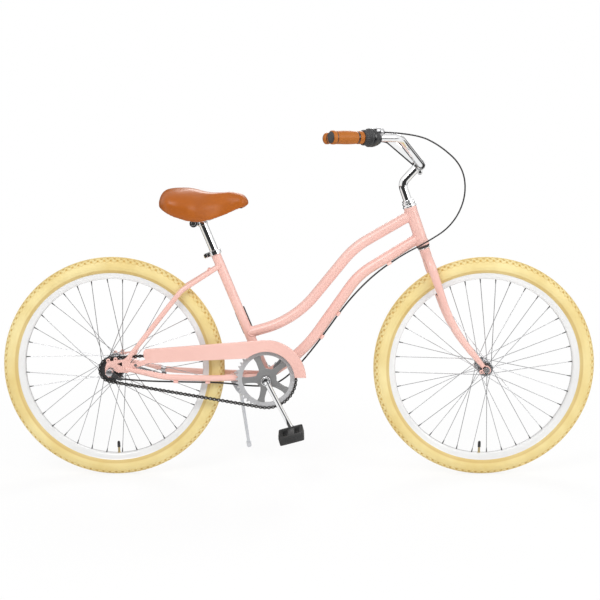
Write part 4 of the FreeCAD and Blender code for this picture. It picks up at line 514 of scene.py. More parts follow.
# %% Main lines, in millimetres
REAR, FRONT = np.array([-557.5, 0.0, 333.0]), np.array([557.5, 0.0, 333.0])
BRACKET = np.array([-97.752, 0.0, 306.0])
SEAT_ANGLE, STEER_ANGLE = math.radians(67.8), math.radians(70.3)
SEAT_WAY = np.array([-math.cos(SEAT_ANGLE), 0.0, math.sin(SEAT_ANGLE)])
STEER_WAY = np.array([-math.cos(STEER_ANGLE), 0.0, math.sin(STEER_ANGLE)])
STEER_FOOT = np.array([506.661, 0.0, 314.797])
SIDES = np.array([1.0, -1.0, 1.0])


def on_seat(length, side=0.0):
    """A place up the seat tube from the bottom bracket."""
    return BRACKET + SEAT_WAY * length + side * Y_AXIS


def on_steer(height, side=0.0):
    """A place up the steering line from the point nearest the front axle."""
    return STEER_FOOT + STEER_WAY * height + side * Y_AXIS


# %% [markdown]
# ## Gear cable
# One sheathed cable runs from the twist shifter to the rear hub. In front of the head tube it is a
# free loop, on the bicycle bent as the bar turns, here one fixed shape; along the frame it is held by guides.
# Each route is a smooth spline through a few points, and a thin tube follows it.

# %% Gear cable
BAR_END, BAR_CORNER = np.array([85.0, -325.0, 1016.0]), np.array([275.0, -215.0, 1015.0])
GRIP_WAY = unit(BAR_CORNER - BAR_END)
CABLE_START, BARREL_RISE = 170.2, 14.6
CABLE_R, RUN_R = 2.2, 2.5
LOOP_START = BAR_END + GRIP_WAY * CABLE_START + BARREL_RISE * UP
LOOP_ROUTE = [LOOP_START, (318, -200, 1027), (393, -152, 996), (468, -100, 935), (484, -66, 846),
              (447, -42, 760), (367, -28, 707), (318, -12, 680), (288, -4, 659)]
RUN_ROUTE = [(288, -4, 659), (191.4, -4, 599.4), (29, -4, 367), (-62, -8, 278), (-132, -22, 276),
             (-232, -39.6, 292.5), (-314, -47, 295.5), (-420, -58, 300), (-468, -74, 306), (-519, -90, 314)]


def points_of(mesh):
    """The points of a mesh."""
    points = np.empty(len(mesh.vertices) * 3)
    mesh.vertices.foreach_get("co", points)
    return points.reshape(-1, 3)


def smooth_route(points):
    """Points, in millimetres, read from a smooth spline with the route's points as control points."""
    curve = bpy.data.curves.new("route", "CURVE")
    curve.dimensions = "3D"
    curve.resolution_u = 10
    spline = curve.splines.new("NURBS")
    spline.points.add(len(points) - 1)
    spline.points.foreach_set("co", np.c_[np.array(points, float), np.ones(len(points))].ravel())
    spline.order_u = 3
    spline.use_endpoint_u = True
    holder = bpy.data.objects.new("route", curve)
    mesh = bpy.data.meshes.new_from_object(holder)
    line = points_of(mesh)
    bpy.data.objects.remove(holder)
    bpy.data.meshes.remove(mesh)
    return line


loop_line, run_line = smooth_route(LOOP_ROUTE), smooth_route(RUN_ROUTE)
cable_loop = piece("cable_loop", [tube(loop_line, CABLE_R, sides=12)], sheath, None, "gear_cable_loop",
                   slot="cable")
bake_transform(cable_loop)
cable_run = piece("cable_run", [tube(run_line, RUN_R, sides=12)], sheath, "frame", "gear_cable_run",
                  slot="cable")

# %% [markdown]
# ## Tyres
# A balloon tyre is a thick ring. Its tread is a raised band whose edge swings in and out in small
# points, with notches and short slanting cuts behind them. Height is a function of the ring's two angles,
# and a groove value kept on the mesh darkens the rubber in the cuts, at the tread's edge and at the bead:
# painted shade.

# %% Tyres
SCALLOPS = 104
TYRE_RING, TYRE_SECTION = 306.0, 25.0
BED_RADIUS, BED_HALF = 280.5, 13.8


def zigzag(wheel, shift):
    """A wave of straight lines between 0 and 1 that repeats at every scallop of the tread."""
    return np.abs(2 * np.mod(SCALLOPS * wheel / (2 * np.pi) + shift, 1.0) - 1)


def step(x, width):
    """0 below nought and 1 above it, with a straight slope of the given width between."""
    return np.clip(x / width + 0.5, 0, 1)


def tyre(centre, turn):
    """Ring of section radius s about radius R. The skin is raised where the section angle lies inside
    an edge that zigzags with the wheel angle, and lowered again along cuts. The second array is painted
    shade: it darkens the cuts, a thin line along the tread's edge and the bead next to the rim."""
    wheel = around(SCALLOPS * 10)[:, None] + turn
    section = np.linspace(-2.06, 2.06, 67)[None]
    out = np.abs(section)
    side = np.where(section > 0, 0.0, 0.5)
    tread = step(0.86 + 0.20 * zigzag(wheel, side) - out, 0.07)
    notch = step(0.30 - zigzag(wheel, side), 0.2) * step(out - 0.66, 0.08)
    slant = zigzag(wheel, side + 0.5 + 0.6 * (out - 0.5))
    dash = step(0.34 - slant, 0.2) * step(out - 0.42, 0.06) * step(0.62 - out, 0.06)
    ribs = step(0.035 - np.abs(out - 0.16), 0.05) + step(0.035 - np.abs(out - 0.34), 0.05)
    cuts = np.clip(notch + dash + ribs, 0, 1) * tread
    bead = 0.5 * np.exp(-((out - 1.62) / 0.05) ** 2)
    radius = TYRE_SECTION + 1.9 * tread - 1.7 * cuts + bead
    # Painted shade: the groove value darkens the cuts, the tread's edge and the bead by the rim.
    groove = np.clip(cuts + 2.4 * tread * (1 - tread) + 0.5 * step(out - 2.0, 0.05), 0, 1)
    ring, flank = TYRE_RING + radius * np.cos(section), radius * np.sin(section)
    bed = np.ones((len(wheel), 1))
    ring = np.concatenate([BED_RADIUS * bed, ring, BED_RADIUS * bed], 1)
    flank = np.concatenate([-BED_HALF * bed, flank, BED_HALF * bed], 1)
    grid = np.stack([ring * np.cos(wheel), flank, ring * np.sin(wheel)], -1)
    groove = np.concatenate([0 * bed, groove, 0 * bed], 1)
    return shell((centre + grid) * MM, ring=True, size=(2.09, 0.17)), groove


for name, centre in (("front", FRONT), ("rear", REAR)):
    skin, groove = tyre(centre, 0.01)
    tyre_skin = piece(name + "_tyre_skin", [skin], cream, name + "_wheel", name + "_tyre", slot="tyre",
                      sharp=60)
    # The groove attribute carries that painted shade into the rubber's colour.
    depth = tyre_skin.data.attributes.new("groove", "FLOAT", "POINT")
    depth.data.foreach_set("value", groove.astype(np.float32).ravel())

# %% [markdown]
# ## Rims, spokes and hubs
# The rim is a spun channel in white enamel. Thirty-six wires cross from the hub's two flanges to
# the rim, each ending in a small dark nipple; all of them are one array of bars.

# %% Wires
SPOKES, SPOKE_LEAD, RIM_HOLE = 36, 60.0, 268.4


def bars(starts, ends, stations, radii, sides):
    """Many straight bars at once: rings at the given distances in millimetres back from each bar's end."""
    way = unit(ends - starts)
    first = unit(np.cross(way, Y_AXIS + 1e-3))
    second = np.cross(way, first)
    length = np.linalg.norm(ends - starts, axis=1)[:, None]
    back = np.where(np.isinf(stations)[None], length, np.asarray(stations)[None])
    middle = ends[:, None] - way[:, None] * back[..., None]
    rays = spokes(around(sides), first, second)[:, None]
    grids = middle[:, :, None] + np.asarray(radii)[None, :, None, None] * rays
    return [shell(grid * MM) for grid in grids]


def spoke_ends(centre, flange_place, flange_radius):
    """Hub and rim ends of the crossed wires: pairs lead and trail by sixty degrees on alternate sides."""
    number = np.arange(SPOKES)
    side = np.where(number % 2, 1.0, -1.0)
    lead = np.where((number // 2) % 2, 1.0, -1.0)
    rim_angle = np.radians(number * 360.0 / SPOKES + 3.5)
    hub_angle = rim_angle + np.radians(SPOKE_LEAD) * lead
    hole = flange_radius - 4.0
    hub = np.stack([hole * np.cos(hub_angle), side * (flange_place + lead * 3.3), hole * np.sin(hub_angle)],
                   -1)
    rim = np.stack([RIM_HOLE * np.cos(rim_angle), side * (2.0 + lead * 1.2), RIM_HOLE * np.sin(rim_angle)],
                   -1)
    return centre + hub, centre + rim, side


# %% [markdown]
# ## Two wheels
# Front and rear wheel differ only in their hubs: a slim spool in front, a wider gear hub behind.
# A wheel is rim, hub, wires with bent heads, and nipples.

# %% Wheels
RIM_PROFILE = balanced((289.0, 17.0), (286.5, 17.6), (284.5, 16.2), (275.0, 13.4), (269.5, 11.0),
                       (267.6, 6.0))
RIM_PROFILE += balanced((288.2, -15.6), (280.8, -14.0))


def wheel(name, centre, flange_place, flange_radius, hub_profile):
    """Rim, hub, wires with their bent heads, and nipples of one wheel."""
    body = name + "_wheel"
    piece(name + "_rim_skin", [spin(RIM_PROFILE, centre, Y_AXIS, sides=256, ease=1.2, ring=True)], enamel,
          body, name + "_rim", slot="rim", sharp=50)
    hub_ends, rim_ends, side = spoke_ends(centre, flange_place, flange_radius)
    wires = bars(hub_ends, rim_ends, [np.inf, 8.0], [1.0, 1.0], 8)
    heads = np.stack([hub_ends[:, 0], centre[1] + side * (flange_place - 2.6), hub_ends[:, 2]], -1)
    tails = np.stack([hub_ends[:, 0], centre[1] + side * (flange_place + 4.2), hub_ends[:, 2]], -1)
    elbows = bars(heads, tails, [6.8, 6.2, 5.6, 1.2, 0.6, 0.0], [1.2, 1.9, 1.1, 1.1, 1.9, 1.2], 8)
    hub = spin(hub_profile, centre, Y_AXIS, sides=72, ease=1.0, ring=True)
    piece(name + "_hub_and_wires", [hub] + wires + elbows, spoke_wire, body, name + "_hub_and_spokes",
          slot="steel")
    nipples = bars(hub_ends, rim_ends, [13.5, 12.8, 7.5, 6.8, 0.4, -1.2], [1.05, 1.3, 1.4, 1.8, 1.8, 2.4], 8)
    piece(name + "_nipples", nipples, dark_steel, body, slot="steel")


FRONT_HUB = balanced((8.05, -35.5), (23.0, -35.5), (23.0, -32.5), (16.0, -30.5), (13.0, -24.0))
REAR_HUB = [(17.05, -40.0), (22.0, -40.0), (22.5, -30.5), (36.0, -30.5), (36.0, -27.5), (27.5, -26.0),
            (26.0, -18.0), (26.0, 18.0), (27.5, 26.0), (36.0, 27.5), (36.0, 30.5), (22.5, 30.5),
            (22.0, 46.0), (12.05, 46.0), (12.05, 36.0), (17.05, 36.0)]
wheel("front", FRONT, 34.0, 23.0, FRONT_HUB)
wheel("rear", REAR, 29.0, 36.0, REAR_HUB)

# %% [markdown]
# ## Valves
# A brass stem with a fluted black cap points from each rim to the hub.

# %% Valves
VALVE_ROOT = 269.0
VALVE_STEM = [(0, -2), (4.8, -2), (4.8, 2.4), (3.4, 3.2), (3.4, 20), (0, 20)]
VALVE_CAP = [(0, 18), (4.4, 18), (4.7, 19.5), (4.5, 32), (3.6, 36), (2.0, 37), (0, 37)]
for name, centre, turn in (("front", FRONT, -91.6), ("rear", REAR, -88.4)):
    ray = np.insert(facing(turn), 1, 0.0)
    root = centre + ray * VALVE_ROOT
    stem = spin(VALVE_STEM, root, -ray, 20)
    cap = spin(VALVE_CAP, root, -ray, 40, flutes=(10, 0.5, 19, 33))
    piece(name + "_valve_stem", [stem], brass, name + "_wheel", name + "_valve", slot="brass")
    piece(name + "_valve_cap", [cap], plastic, name + "_wheel", slot="black")

# %% [markdown]
# ## Welds
# The frame is welded from tubes, and a bead of weld runs round each joint. It follows the line where a tube's
# skin meets a round post, which has a formula, so no cutting of meshes is needed.

# %% Welds and painted pieces
def painted(name, shells, node=None, body="frame"):
    """A piece in the frame's paint."""
    return piece(name, shells, pink, body, *([node] if node else []), slot="frame_paint")


def weld(line, radius, post_foot, post_way, post_radius, bead=2.3, sides=48):
    """Closed bead along the meeting line of a tube, at its line's start, with a round post: along each line
    of the tube's skin, the place whose distance from the post's axis is the post's radius."""
    first, second, way = across(line[1] - line[0])
    skin = line[0] + radius * spokes(around(sides), first, second)
    post_way = unit(np.asarray(post_way, float))
    gap, run = [v - (v @ post_way)[..., None] * post_way for v in (skin - post_foot, way[None])]
    a, b, c = (run * run).sum(-1), (gap * run).sum(-1), (gap * gap).sum(-1) - post_radius ** 2
    reach = (-b + np.sqrt(np.maximum(b * b - a * c, 0.0))) / a
    return tube(skin + reach[:, None] * way, bead, sides=10, ring=True)


def mirror(shell_left):
    """The copy of a shell on the other side of the bicycle."""
    points, quads, ends, uv = shell_left
    return points * SIDES, quads, ends, uv


# %% [markdown]
# ## Long tubes
# The top tube and the down tube sweep down together from the head. Each is a circle carried along its
# bent line, with a bead at both ends.

# %% Long tubes
HEAD_BOTTOM, HEAD_TOP = 415.5, 530.5
TUBE_R, SEAT_R, HEAD_R, SHELL_R = 15.9, 14.3, 18.5, 20.0
top_corners = [on_seat(141.5), (-13, 0, 476), (164, 0, 694), on_steer(HEAD_BOTTOM + 93.0)]
down_corners = [BRACKET, (15, 0, 381), (178, 0, 613), on_steer(HEAD_BOTTOM + 20.7)]
top_line, _ = bent(top_corners, [300, 250])
down_line, _ = bent(down_corners, [400, 220])
top_welds = [weld(top_line[::-1], TUBE_R, STEER_FOOT, STEER_WAY, HEAD_R),
             weld(top_line, TUBE_R, BRACKET, SEAT_WAY, SEAT_R)]
down_welds = [weld(down_line[::-1], TUBE_R, STEER_FOOT, STEER_WAY, HEAD_R),
              weld(down_line, TUBE_R, BRACKET, Y_AXIS, SHELL_R)]
painted("top_tube_skin", [tube(top_line, TUBE_R)] + top_welds, "top_tube")
painted("down_tube_skin", [tube(down_line, TUBE_R)] + down_welds, "down_tube")

# %% [markdown]
# ## Seat tube, head tube and bracket shell
# These three are straight pipes that the long tubes are welded to, so they are turned on the lathe.
# The head tube is flared at both ends where the bearing cups are pressed in.

# %% Straight tubes
SEAT_TOP = 411.0
seat_profile = sleeve(12.75, SEAT_R, 18.0, SEAT_TOP)
seat_weld = weld([BRACKET, on_seat(1.0)], SEAT_R, BRACKET, Y_AXIS, SHELL_R)
painted("seat_tube_skin", [spin(seat_profile, BRACKET, SEAT_WAY, 48, 0.4, ring=True), seat_weld], "seat_tube")
head_profile = [(15.0, HEAD_BOTTOM - 5.3), (20.0, HEAD_BOTTOM - 5.3), (20.0, HEAD_BOTTOM - 1.0),
                (19.2, HEAD_BOTTOM + 8.0), (18.3, HEAD_BOTTOM + 10.0), (18.3, HEAD_TOP - 10.0),
                (19.2, HEAD_TOP - 8.0), (19.2, HEAD_TOP), (15.0, HEAD_TOP)]
painted("head_tube_skin", [spin(head_profile, STEER_FOOT, STEER_WAY, 56, 0.6, ring=True)], "head_tube")
shell_profile = sleeve(17.0, SHELL_R, -34.0, 34.0)
painted("bracket_shell_skin", [spin(shell_profile, BRACKET, Y_AXIS, 56, 0.6, ring=True)],
        "bottom_bracket_shell")

# %% [markdown]
# ## Stays
# Two pairs of thinner tubes run back to the axle and narrow over their last stretch, as drawn tubes do.
# The right ones are mirror images of the left ones. A small ring for a rack stands on each seat stay.

# %% Stays
def tapered(line, radii):
    """A stay: a tube whose radius changes over its last ninety millimetres."""
    run = run_of(line)
    return tube(line, np.interp(run, [0, run[-1] - 90, run[-1]], radii), 32, rounded=4)


def painted_pair(name, shells, body="frame"):
    """A painted piece of the left side and its mirror image on the right."""
    for side, parts in (("left", shells), ("right", [mirror(part) for part in shells])):
        painted(f"{name}_{side}_skin", parts, f"{name}_{side}", body)


STAY_BEND = np.array([-348, 42, 570])
chain_corners = [BRACKET + [-14, 22, 0], (-255, 43, 306), (-400, 53, 312), REAR + [46, 62.5, 6]]
chain_line, _ = bent(chain_corners, [300, 250])
seat_line, _ = bent([on_seat(362, 7), STAY_BEND, REAR + [50, 62.5, 36]], [75])
chain_weld = weld(chain_line, 9.4, BRACKET, Y_AXIS, SHELL_R, 1.8, 32)
stay_weld = weld(seat_line, 7.5, BRACKET, SEAT_WAY, SEAT_R, 1.8, 32)
eye_at = seat_line[0] + (STAY_BEND - seat_line[0]) * 0.36 + 12.6 * np.array([0.5, 0.0, 0.866])
rack_eye = spin(sleeve(2.1, 5.6, -3, 3), eye_at, Y_AXIS, 24, 0.6, ring=True)
painted_pair("chain_stay", [tapered(chain_line, [9.4, 9.0, 7.2]), chain_weld])
painted_pair("seat_stay", [tapered(seat_line, [7.5, 7.5, 6.2]), stay_weld, rack_eye])

EYE_RING = balanced((2.2, -3.2), (4.6, -3.2), (5.8, -2.2))
eye_places = [REAR + [x, 62.5, z] for x, z in ((-7.6, 31.0), (14.0, 35.0))]
eyelets = [spin(EYE_RING, place, Y_AXIS, 32, 0.3, ring=True) for place in eye_places]
painted("dropout_eyelets", eyelets + [mirror(part) for part in eyelets])

# %% [markdown]
# ## Fork
# Two blades leave the crown sideways, bend down past the tyre, and sweep forward to the axle as they taper.

# %% Fork
AXLE_LEFT = np.array([557.5, 52.25, 333.0])
blade_sweep = on_steer(146, 50.25)
blade_end = AXLE_LEFT + unit(blade_sweep - AXLE_LEFT) * 17.0
blade_corners = [on_steer(387, 3), on_steer(352, 45), blade_sweep, blade_end]
blade_line, blade_marks = bent(blade_corners, [40, 470], step=3.0)
blade_radii = np.interp(run_of(blade_line), blade_marks, [13, 13, 13, 10.2, 10.2, 6.8])
blade = tube(blade_line, blade_radii, 36, rounded=5)
tip_parts = [arc(13, -68, 248, 40), [[-4.6, -12.0]], arc(4.6, 180, 0, 14), [[4.6, -12.0]]]
tip_steps = [(0.6, 50.0), (0.0, 50.6), (0.0, 53.9), (0.6, 54.5)]
tip = pressed(np.concatenate(tip_parts) + flat(AXLE_LEFT), tip_steps)
reach = unit(flat(blade_end - AXLE_LEFT))
tang_half = square_to(reach) * 6.4
tang_corners = [tang_half + reach * 8, tang_half + reach * 25, -tang_half + reach * 25,
                -tang_half + reach * 8]
tang = pressed(flat(AXLE_LEFT) + np.array(tang_corners), tip_steps)
fork_eye = spin(EYE_RING, AXLE_LEFT + [-15.0, 0, -5.5], Y_AXIS, 32, 0.3, ring=True)
crown_weld = weld(blade_line, 13, STEER_FOOT, STEER_WAY, 15.5, 2.0, 40)
painted_pair("fork_blade", [blade, tip, tang, fork_eye, crown_weld], "steering")
crown_line = [(0, 374), (14.4, 374), (15.5, 375.2), (15.5, 398.8), (14.6, 400), (0, 400)]
crown = spin(crown_line, STEER_FOOT, STEER_WAY, 48)
steerer = spin(sleeve(11.15, 12.7, 400, 552), STEER_FOOT, STEER_WAY, 40, ring=True)
painted("fork_crown", [crown, steerer], "fork_steerer", body="steering")

# %% [markdown]
# ## Bearings
# The head turns in two cups: a dark one below, and above a chrome cup under a flared lock nut in two tiers.
# Two more dark cups close the bracket shell. All of these are lathe work.

# %% Bearings
lower_cup = [(15.0, 404.3), (17.6, 404.3), (18.4, 405.4), (19.6, 409.0), (19.6, 410.0), (15.0, 410.0)]
upper_cup = [(15.0, 530.5), (19.4, 530.5), (20.4, 532.0), (20.4, 535.0), (18.4, 537.0), (18.0, 539.5),
             (15.0, 539.5)]
lock_nut = [(12.7, 539.8), (17.6, 539.8), (19.0, 541.2), (19.0, 544.6), (16.6, 546.4), (16.4, 547.6),
            (17.8, 549.2), (17.2, 551.8), (15.0, 552.8), (12.7, 552.8)]
lower_race = [(12.7, 400.0), (17.4, 400.0), (18.0, 401.0), (15.6, 403.6), (12.7, 404.0)]
bracket_cup = [(8.7, 34.0), (19.4, 34.0), (20.0, 34.7), (20.0, 36.2), (19.2, 37.0), (8.7, 37.0)]


def on_head(profile):
    """A ring turned about the steering line."""
    return spin(profile, STEER_FOOT, STEER_WAY, 56, 0.3, ring=True)


cups = [on_head(lower_cup)] + both_sides(bracket_cup, BRACKET, 56)
piece("dark_cups", cups, dark_steel, "frame", "bearing_cups", slot="steel")
piece("upper_cup", [on_head(upper_cup)], chrome, "frame", slot="steel")
races = [on_head(lock_nut), on_head(lower_race)]
piece("lock_nut_and_race", races, chrome, "steering", "headset_races", slot="steel")

# %% [markdown]
# ## Axles
# The axles are rods with a washer and a nut on each side; a nut is lathe work on six sides.

# %% Axles
def axle(centre, first, last, rod, nut, nut_radius):
    """A rod across the wheel, and on each side a washer and a six-sided nut with a bevelled outer edge."""
    start, stop = nut
    rod_line = [(0, first), (rod - 0.8, first), (rod, first + 1), (rod, last - 1), (rod - 0.8, last),
                (0, last)]
    nut_line = [(rod, start + 1.4), (nut_radius, start + 1.4), (nut_radius, stop - 1.6),
                (nut_radius - 1.4, stop), (rod, stop)]
    washer = sleeve(rod, nut_radius + 1.2, start, start + 1.4)
    nuts_and_washers = both_sides(nut_line, centre, 6) + both_sides(washer, centre, 32)
    return [spin(rod_line, centre, Y_AXIS, 24)] + nuts_and_washers


cones = both_sides(sleeve(4.5, 8, 30, 49.5), FRONT, 32, 0.5)
front_axle = axle(FRONT, -69.5, 69.5, 4.5, (54.5, 64.5), 8.6)
piece("front_axle_skin", front_axle + cones, steel, "steering", "front_axle", slot="steel")
lock_rings = [spin(sleeve(5, 9.5, 54.2, 59.8), REAR, -Y_AXIS, 32, 0.5, ring=True),
              spin(sleeve(5, 11.8, 36.5, 59.8), REAR, Y_AXIS, 32, 0.5, ring=True)]
rear_axle = axle(REAR, -77, 83, 5.0, (65.0, 75.0), 9.6)
piece("rear_axle_skin", rear_axle + lock_rings, steel, "frame", "rear_axle", slot="steel")

# %% [markdown]
# ## Bell crank of the gear hub
# The cable pulls a small ringed case on the axle's end by a short lever with a ferrule at its tip.

# %% Bell crank
case_line = [(0, 77), (8.0, 77), (9.4, 78), (9.4, 80.5), (8.0, 81.5), (9.8, 82.6), (9.8, 85), (8.2, 86),
             (10.4, 87.2), (11.0, 89), (11.0, 92.5), (9.6, 95.6), (5.5, 97), (0, 97)]
case = spin(case_line, REAR, -Y_AXIS, 40)
CABLE_END = np.array(RUN_ROUTE[-1], float)
cable_way = unit(CABLE_END - np.array(RUN_ROUTE[-2], float))
ferrule_line = [(0, 0), (3.4, 0), (4.2, 2), (5.0, 5), (5.0, 14), (3.8, 16), (0, 16)]
ferrule = spin(ferrule_line, CABLE_END, cable_way, 28)
root_at, tip_at = flat(REAR), flat(CABLE_END) + flat(cable_way) * 8
lever_side = square_to(unit(tip_at - root_at))
lever_corners = [root_at + lever_side * 8, tip_at + lever_side * 4.2, tip_at - lever_side * 4.2,
                 root_at - lever_side * 8]
lever_steps = [(0.8, -93), (0, -92.3), (0, -88.7), (0.8, -88)]
lever = pressed(eased(np.array(lever_corners), 2.5, closed=True), lever_steps)
piece("bell_crank_case", [case], steel, "frame", "bell_crank", slot="steel")
piece("bell_crank_lever", [lever, ferrule], dull_plastic, "frame", slot="black")

# %% [markdown]
# ## Stem and handlebar
# Chrome shows every bend, so the stem and the bar are finely divided tubes.
# The bar is bent from one pipe and thickened in the middle, where the stem's clamp holds it.

# %% Stem and handlebar
CLAMP = np.array([353.0, 0.0, 938.5])
stem_line, _ = bent([on_steer(553), on_steer(604.8), CLAMP], [28], step=1.5)
clamp_line = balanced((12.7, -20), (15.2, -20), (16.5, -17))
clamp_barrel = spin(clamp_line, CLAMP, Y_AXIS, 48, 0.8, ring=True)
lug = tube([CLAMP + [3, 0, -24], CLAMP + [3, 0, -12]], 7.0, 32, rounded=2.5)
lug_bolt = spin([(0, -29), (4.8, -29), (5.0, -24), (0, -24)], CLAMP + [3, 0, 0], UP, 6, 0.5)
quill = tube([on_steer(493), on_steer(553)], 11.1, 32)
stem_parts = [tube(stem_line, 12.5, 48), clamp_barrel, lug, lug_bolt, quill]
piece("stem_skin", stem_parts, chrome, "steering", "stem", slot="chrome")

right_bar = [CLAMP + [0, -55, 0], BAR_CORNER, BAR_END]
bar_corners = [p * SIDES for p in reversed(right_bar)] + right_bar
bar_line, _ = bent(bar_corners, [60, 55, 55, 60], step=2.5)
bar_centre = spin(balanced((11.0, -38), (12.7, -34)), CLAMP, Y_AXIS, 48, 1.0, ring=True)
piece("handlebar_skin", [tube(bar_line, 11.1, 40), bar_centre], chrome, "steering", "handlebar",
      slot="chrome")

# %% [markdown]
# ## Grips
# The grips are spun: an end flange, a groove, a barrel that swells a little, another groove and a collar.
# The right one is shorter because the twist shifter sits beside it. Dark rings in the two grooves are painted
# shade.

# %% Grips
def grip_profile(length):
    """Radius against distance from the bar's end: flange, groove, swelling barrel, deep slot, collar."""
    barrel = np.linspace(15.5, length - 19.0, 15)
    swell = 16.4 + 1.6 * np.sin(np.pi * (barrel - barrel[0]) / (barrel[-1] - barrel[0])) ** 0.7
    start = [(11.1, 0.0), (16.6, 0.0), (18.2, 1.2), (18.6, 5.0), (18.2, 11.0), (15.0, 12.2), (15.0, 14.0)]
    stop = [(13.2, length - 18.0), (13.2, length - 14.0), (16.6, length - 13.2), (17.2, length - 12.0),
            (17.2, length - 1.5), (16.2, length), (11.1, length)]
    return start + list(zip(swell, barrel)) + stop


BAR_ENDS = [(BAR_END, GRIP_WAY, 97.0), (BAR_END * SIDES, GRIP_WAY * SIDES, 126.0)]
grips = [spin(grip_profile(length), end, way, 64, 0.5, ring=True) for end, way, length in BAR_ENDS]
piece("grip_skins", grips, grip_hide, "steering", "grips", slot="grip", sharp=60)
# Painted shade: black rings set in the grooves for the shade there.
slot_shade_rings = [spin(sleeve(11.2, radius, low, high), end, way, 56, ring=True) for end, way, length in BAR_ENDS
              for low, high, radius in ((length - 19.5, length - 12.5, 15.4), (12.0, 14.6, 15.8))]
piece("grip_slot_shade", slot_shade_rings, plastic, "steering", slot="grip_rubber")
plug_line = [(0, -4.0), (9.0, -4.0), (13.4, -3.4), (15.3, -2.0), (15.5, -0.2), (11.0, 0.0), (10.6, 12.0),
             (0, 12.0)]
plugs = [spin(plug_line, end, way, 48) for end, way, _ in BAR_ENDS]
piece("bar_end_caps", plugs, dull_plastic, "steering", "bar_end_plugs", slot="grip_rubber")

# %% [markdown]
# ## Twist shifter
# A ribbed dark sleeve with a rounded flange turns against a black housing. On the housing sit a metal
# dome, a small bright ring and the barrel that takes the cable.

# %% Twist shifter
twist_line = [(11.2, 97.3), (19.0, 97.3), (20.6, 98.8), (21.0, 100.5), (21.0, 112.0), (21.6, 113.6),
              (24.0, 114.6), (25.0, 116.4), (25.0, 119.6), (24.2, 121.3), (11.2, 121.3)]
twist = spin(twist_line, BAR_END, GRIP_WAY, 144, ring=True, flutes=(24, 1.1, 98.5, 113))
piece("twist_sleeve", [twist], dull_plastic, "gear_twist", "shifter_twist", slot="black")
housing_line = [(11.2, 121.6), (23.6, 121.6), (25.0, 123.4), (25.0, 129.0), (23.4, 136.0), (20.6, 144.0),
                (17.0, 150.4), (14.5, 151.6), (11.2, 151.6)]
housing = spin(housing_line, BAR_END, GRIP_WAY, 64, 0.8, ring=True)
bar_up = unit(np.cross(unit(np.cross(GRIP_WAY, UP)), GRIP_WAY))
barrel_foot = BAR_END + bar_up * BARREL_RISE
dome_base = BAR_END + GRIP_WAY * 136.6
collar = spin([(0, 8), (13.4, 8), (13.4, 22.5), (12.6, 24), (0, 24)], dome_base, bar_up, 48)
barrel_line = [(0, 131.6), (8.4, 131.6), (8.2, 152), (4.2, 153), (4.0, 163), (4.6, 164), (3.2, 169.6),
               (0, 169.6)]
barrel = spin(barrel_line, barrel_foot, GRIP_WAY, 40, flutes=(12, 0.6, 131, 152.5))
piece("shifter_body", [housing, collar, barrel], plastic, "steering", "shifter_housing", slot="black")
dome = spin([(0, 12), (12.6, 12), (12.6, 22.0), (11.4, 26.4), (8.4, 29.4), (4.4, 31.0), (0, 31.4)],
            BAR_END + GRIP_WAY * 143.0, unit(np.array([0.40, -0.42, 0.81])), 48)
window = spin([(4.0, 152), (6.4, 152.6), (5.6, 163), (4.0, 163.6)], barrel_foot, GRIP_WAY, 40, 0.3, ring=True)
piece("shifter_dome", [dome, window], steel, "steering", slot="black")

# %% [markdown]
# ## Saddle
# A wide stuffed saddle: broad and high behind, dipping in the middle, with a long nose.
# The start shape comes from smooth curves of width, top and bottom along its length;
# a short cloth run with air pressure then swells and tightens it as foam does under hide.

# %% Saddle form
TAIL_X, SADDLE_LONG, PAN_TOP = -413.0, 264.5, 818.4
TAIL_ROUND, NOSE_ROUND = 40.0, 22.0
TOP_LINE = [(0, 868), (29, 870), (47, 871), (71, 869.5), (103, 865), (144, 855), (188, 854), (225, 857),
            (245, 856), (264.5, 853)]
LOW_LINE = [(0, 813), (14, 807.5), (27, 800), (46, 790), (70, 781), (98, 773), (122, 771), (153, 775),
            (170, 780), (194, 788), (242, 810), (256, 815), (264.5, 818)]
HALF_LINE = [(0, 100), (18, 106), (55, 113), (80, 111), (106, 103), (130, 87), (153, 70), (178, 55),
             (203, 45), (225, 39), (246, 36), (264.5, 34)]


def flow(x, table):
    """Smooth curve through a table: cubic pieces whose slopes are the mean of the neighbouring slopes."""
    xs, values = np.array(table, float).T
    slope = np.gradient(values, xs)
    i = np.clip(np.searchsorted(xs, x) - 1, 0, len(xs) - 2)
    h = xs[i + 1] - xs[i]
    t = (x - xs[i]) / h
    return ((2 * t ** 3 - 3 * t ** 2 + 1) * values[i] + (t ** 3 - 2 * t ** 2 + t) * h * slope[i]
            + (3 * t ** 2 - 2 * t ** 3) * values[i + 1] + (t ** 3 - t ** 2) * h * slope[i + 1])


def quarter(t):
    """Height of a quarter circle: nothing at 0, full from 1 on."""
    return np.sqrt(1 - (1 - np.clip(t, 0, 1)) ** 2)


def half_width(ahead):
    """Half the saddle's width: the table's value, closed like a quarter circle at both ends."""
    return flow(ahead, HALF_LINE) * quarter(ahead / TAIL_ROUND) * quarter((SADDLE_LONG - ahead) / NOSE_ROUND)


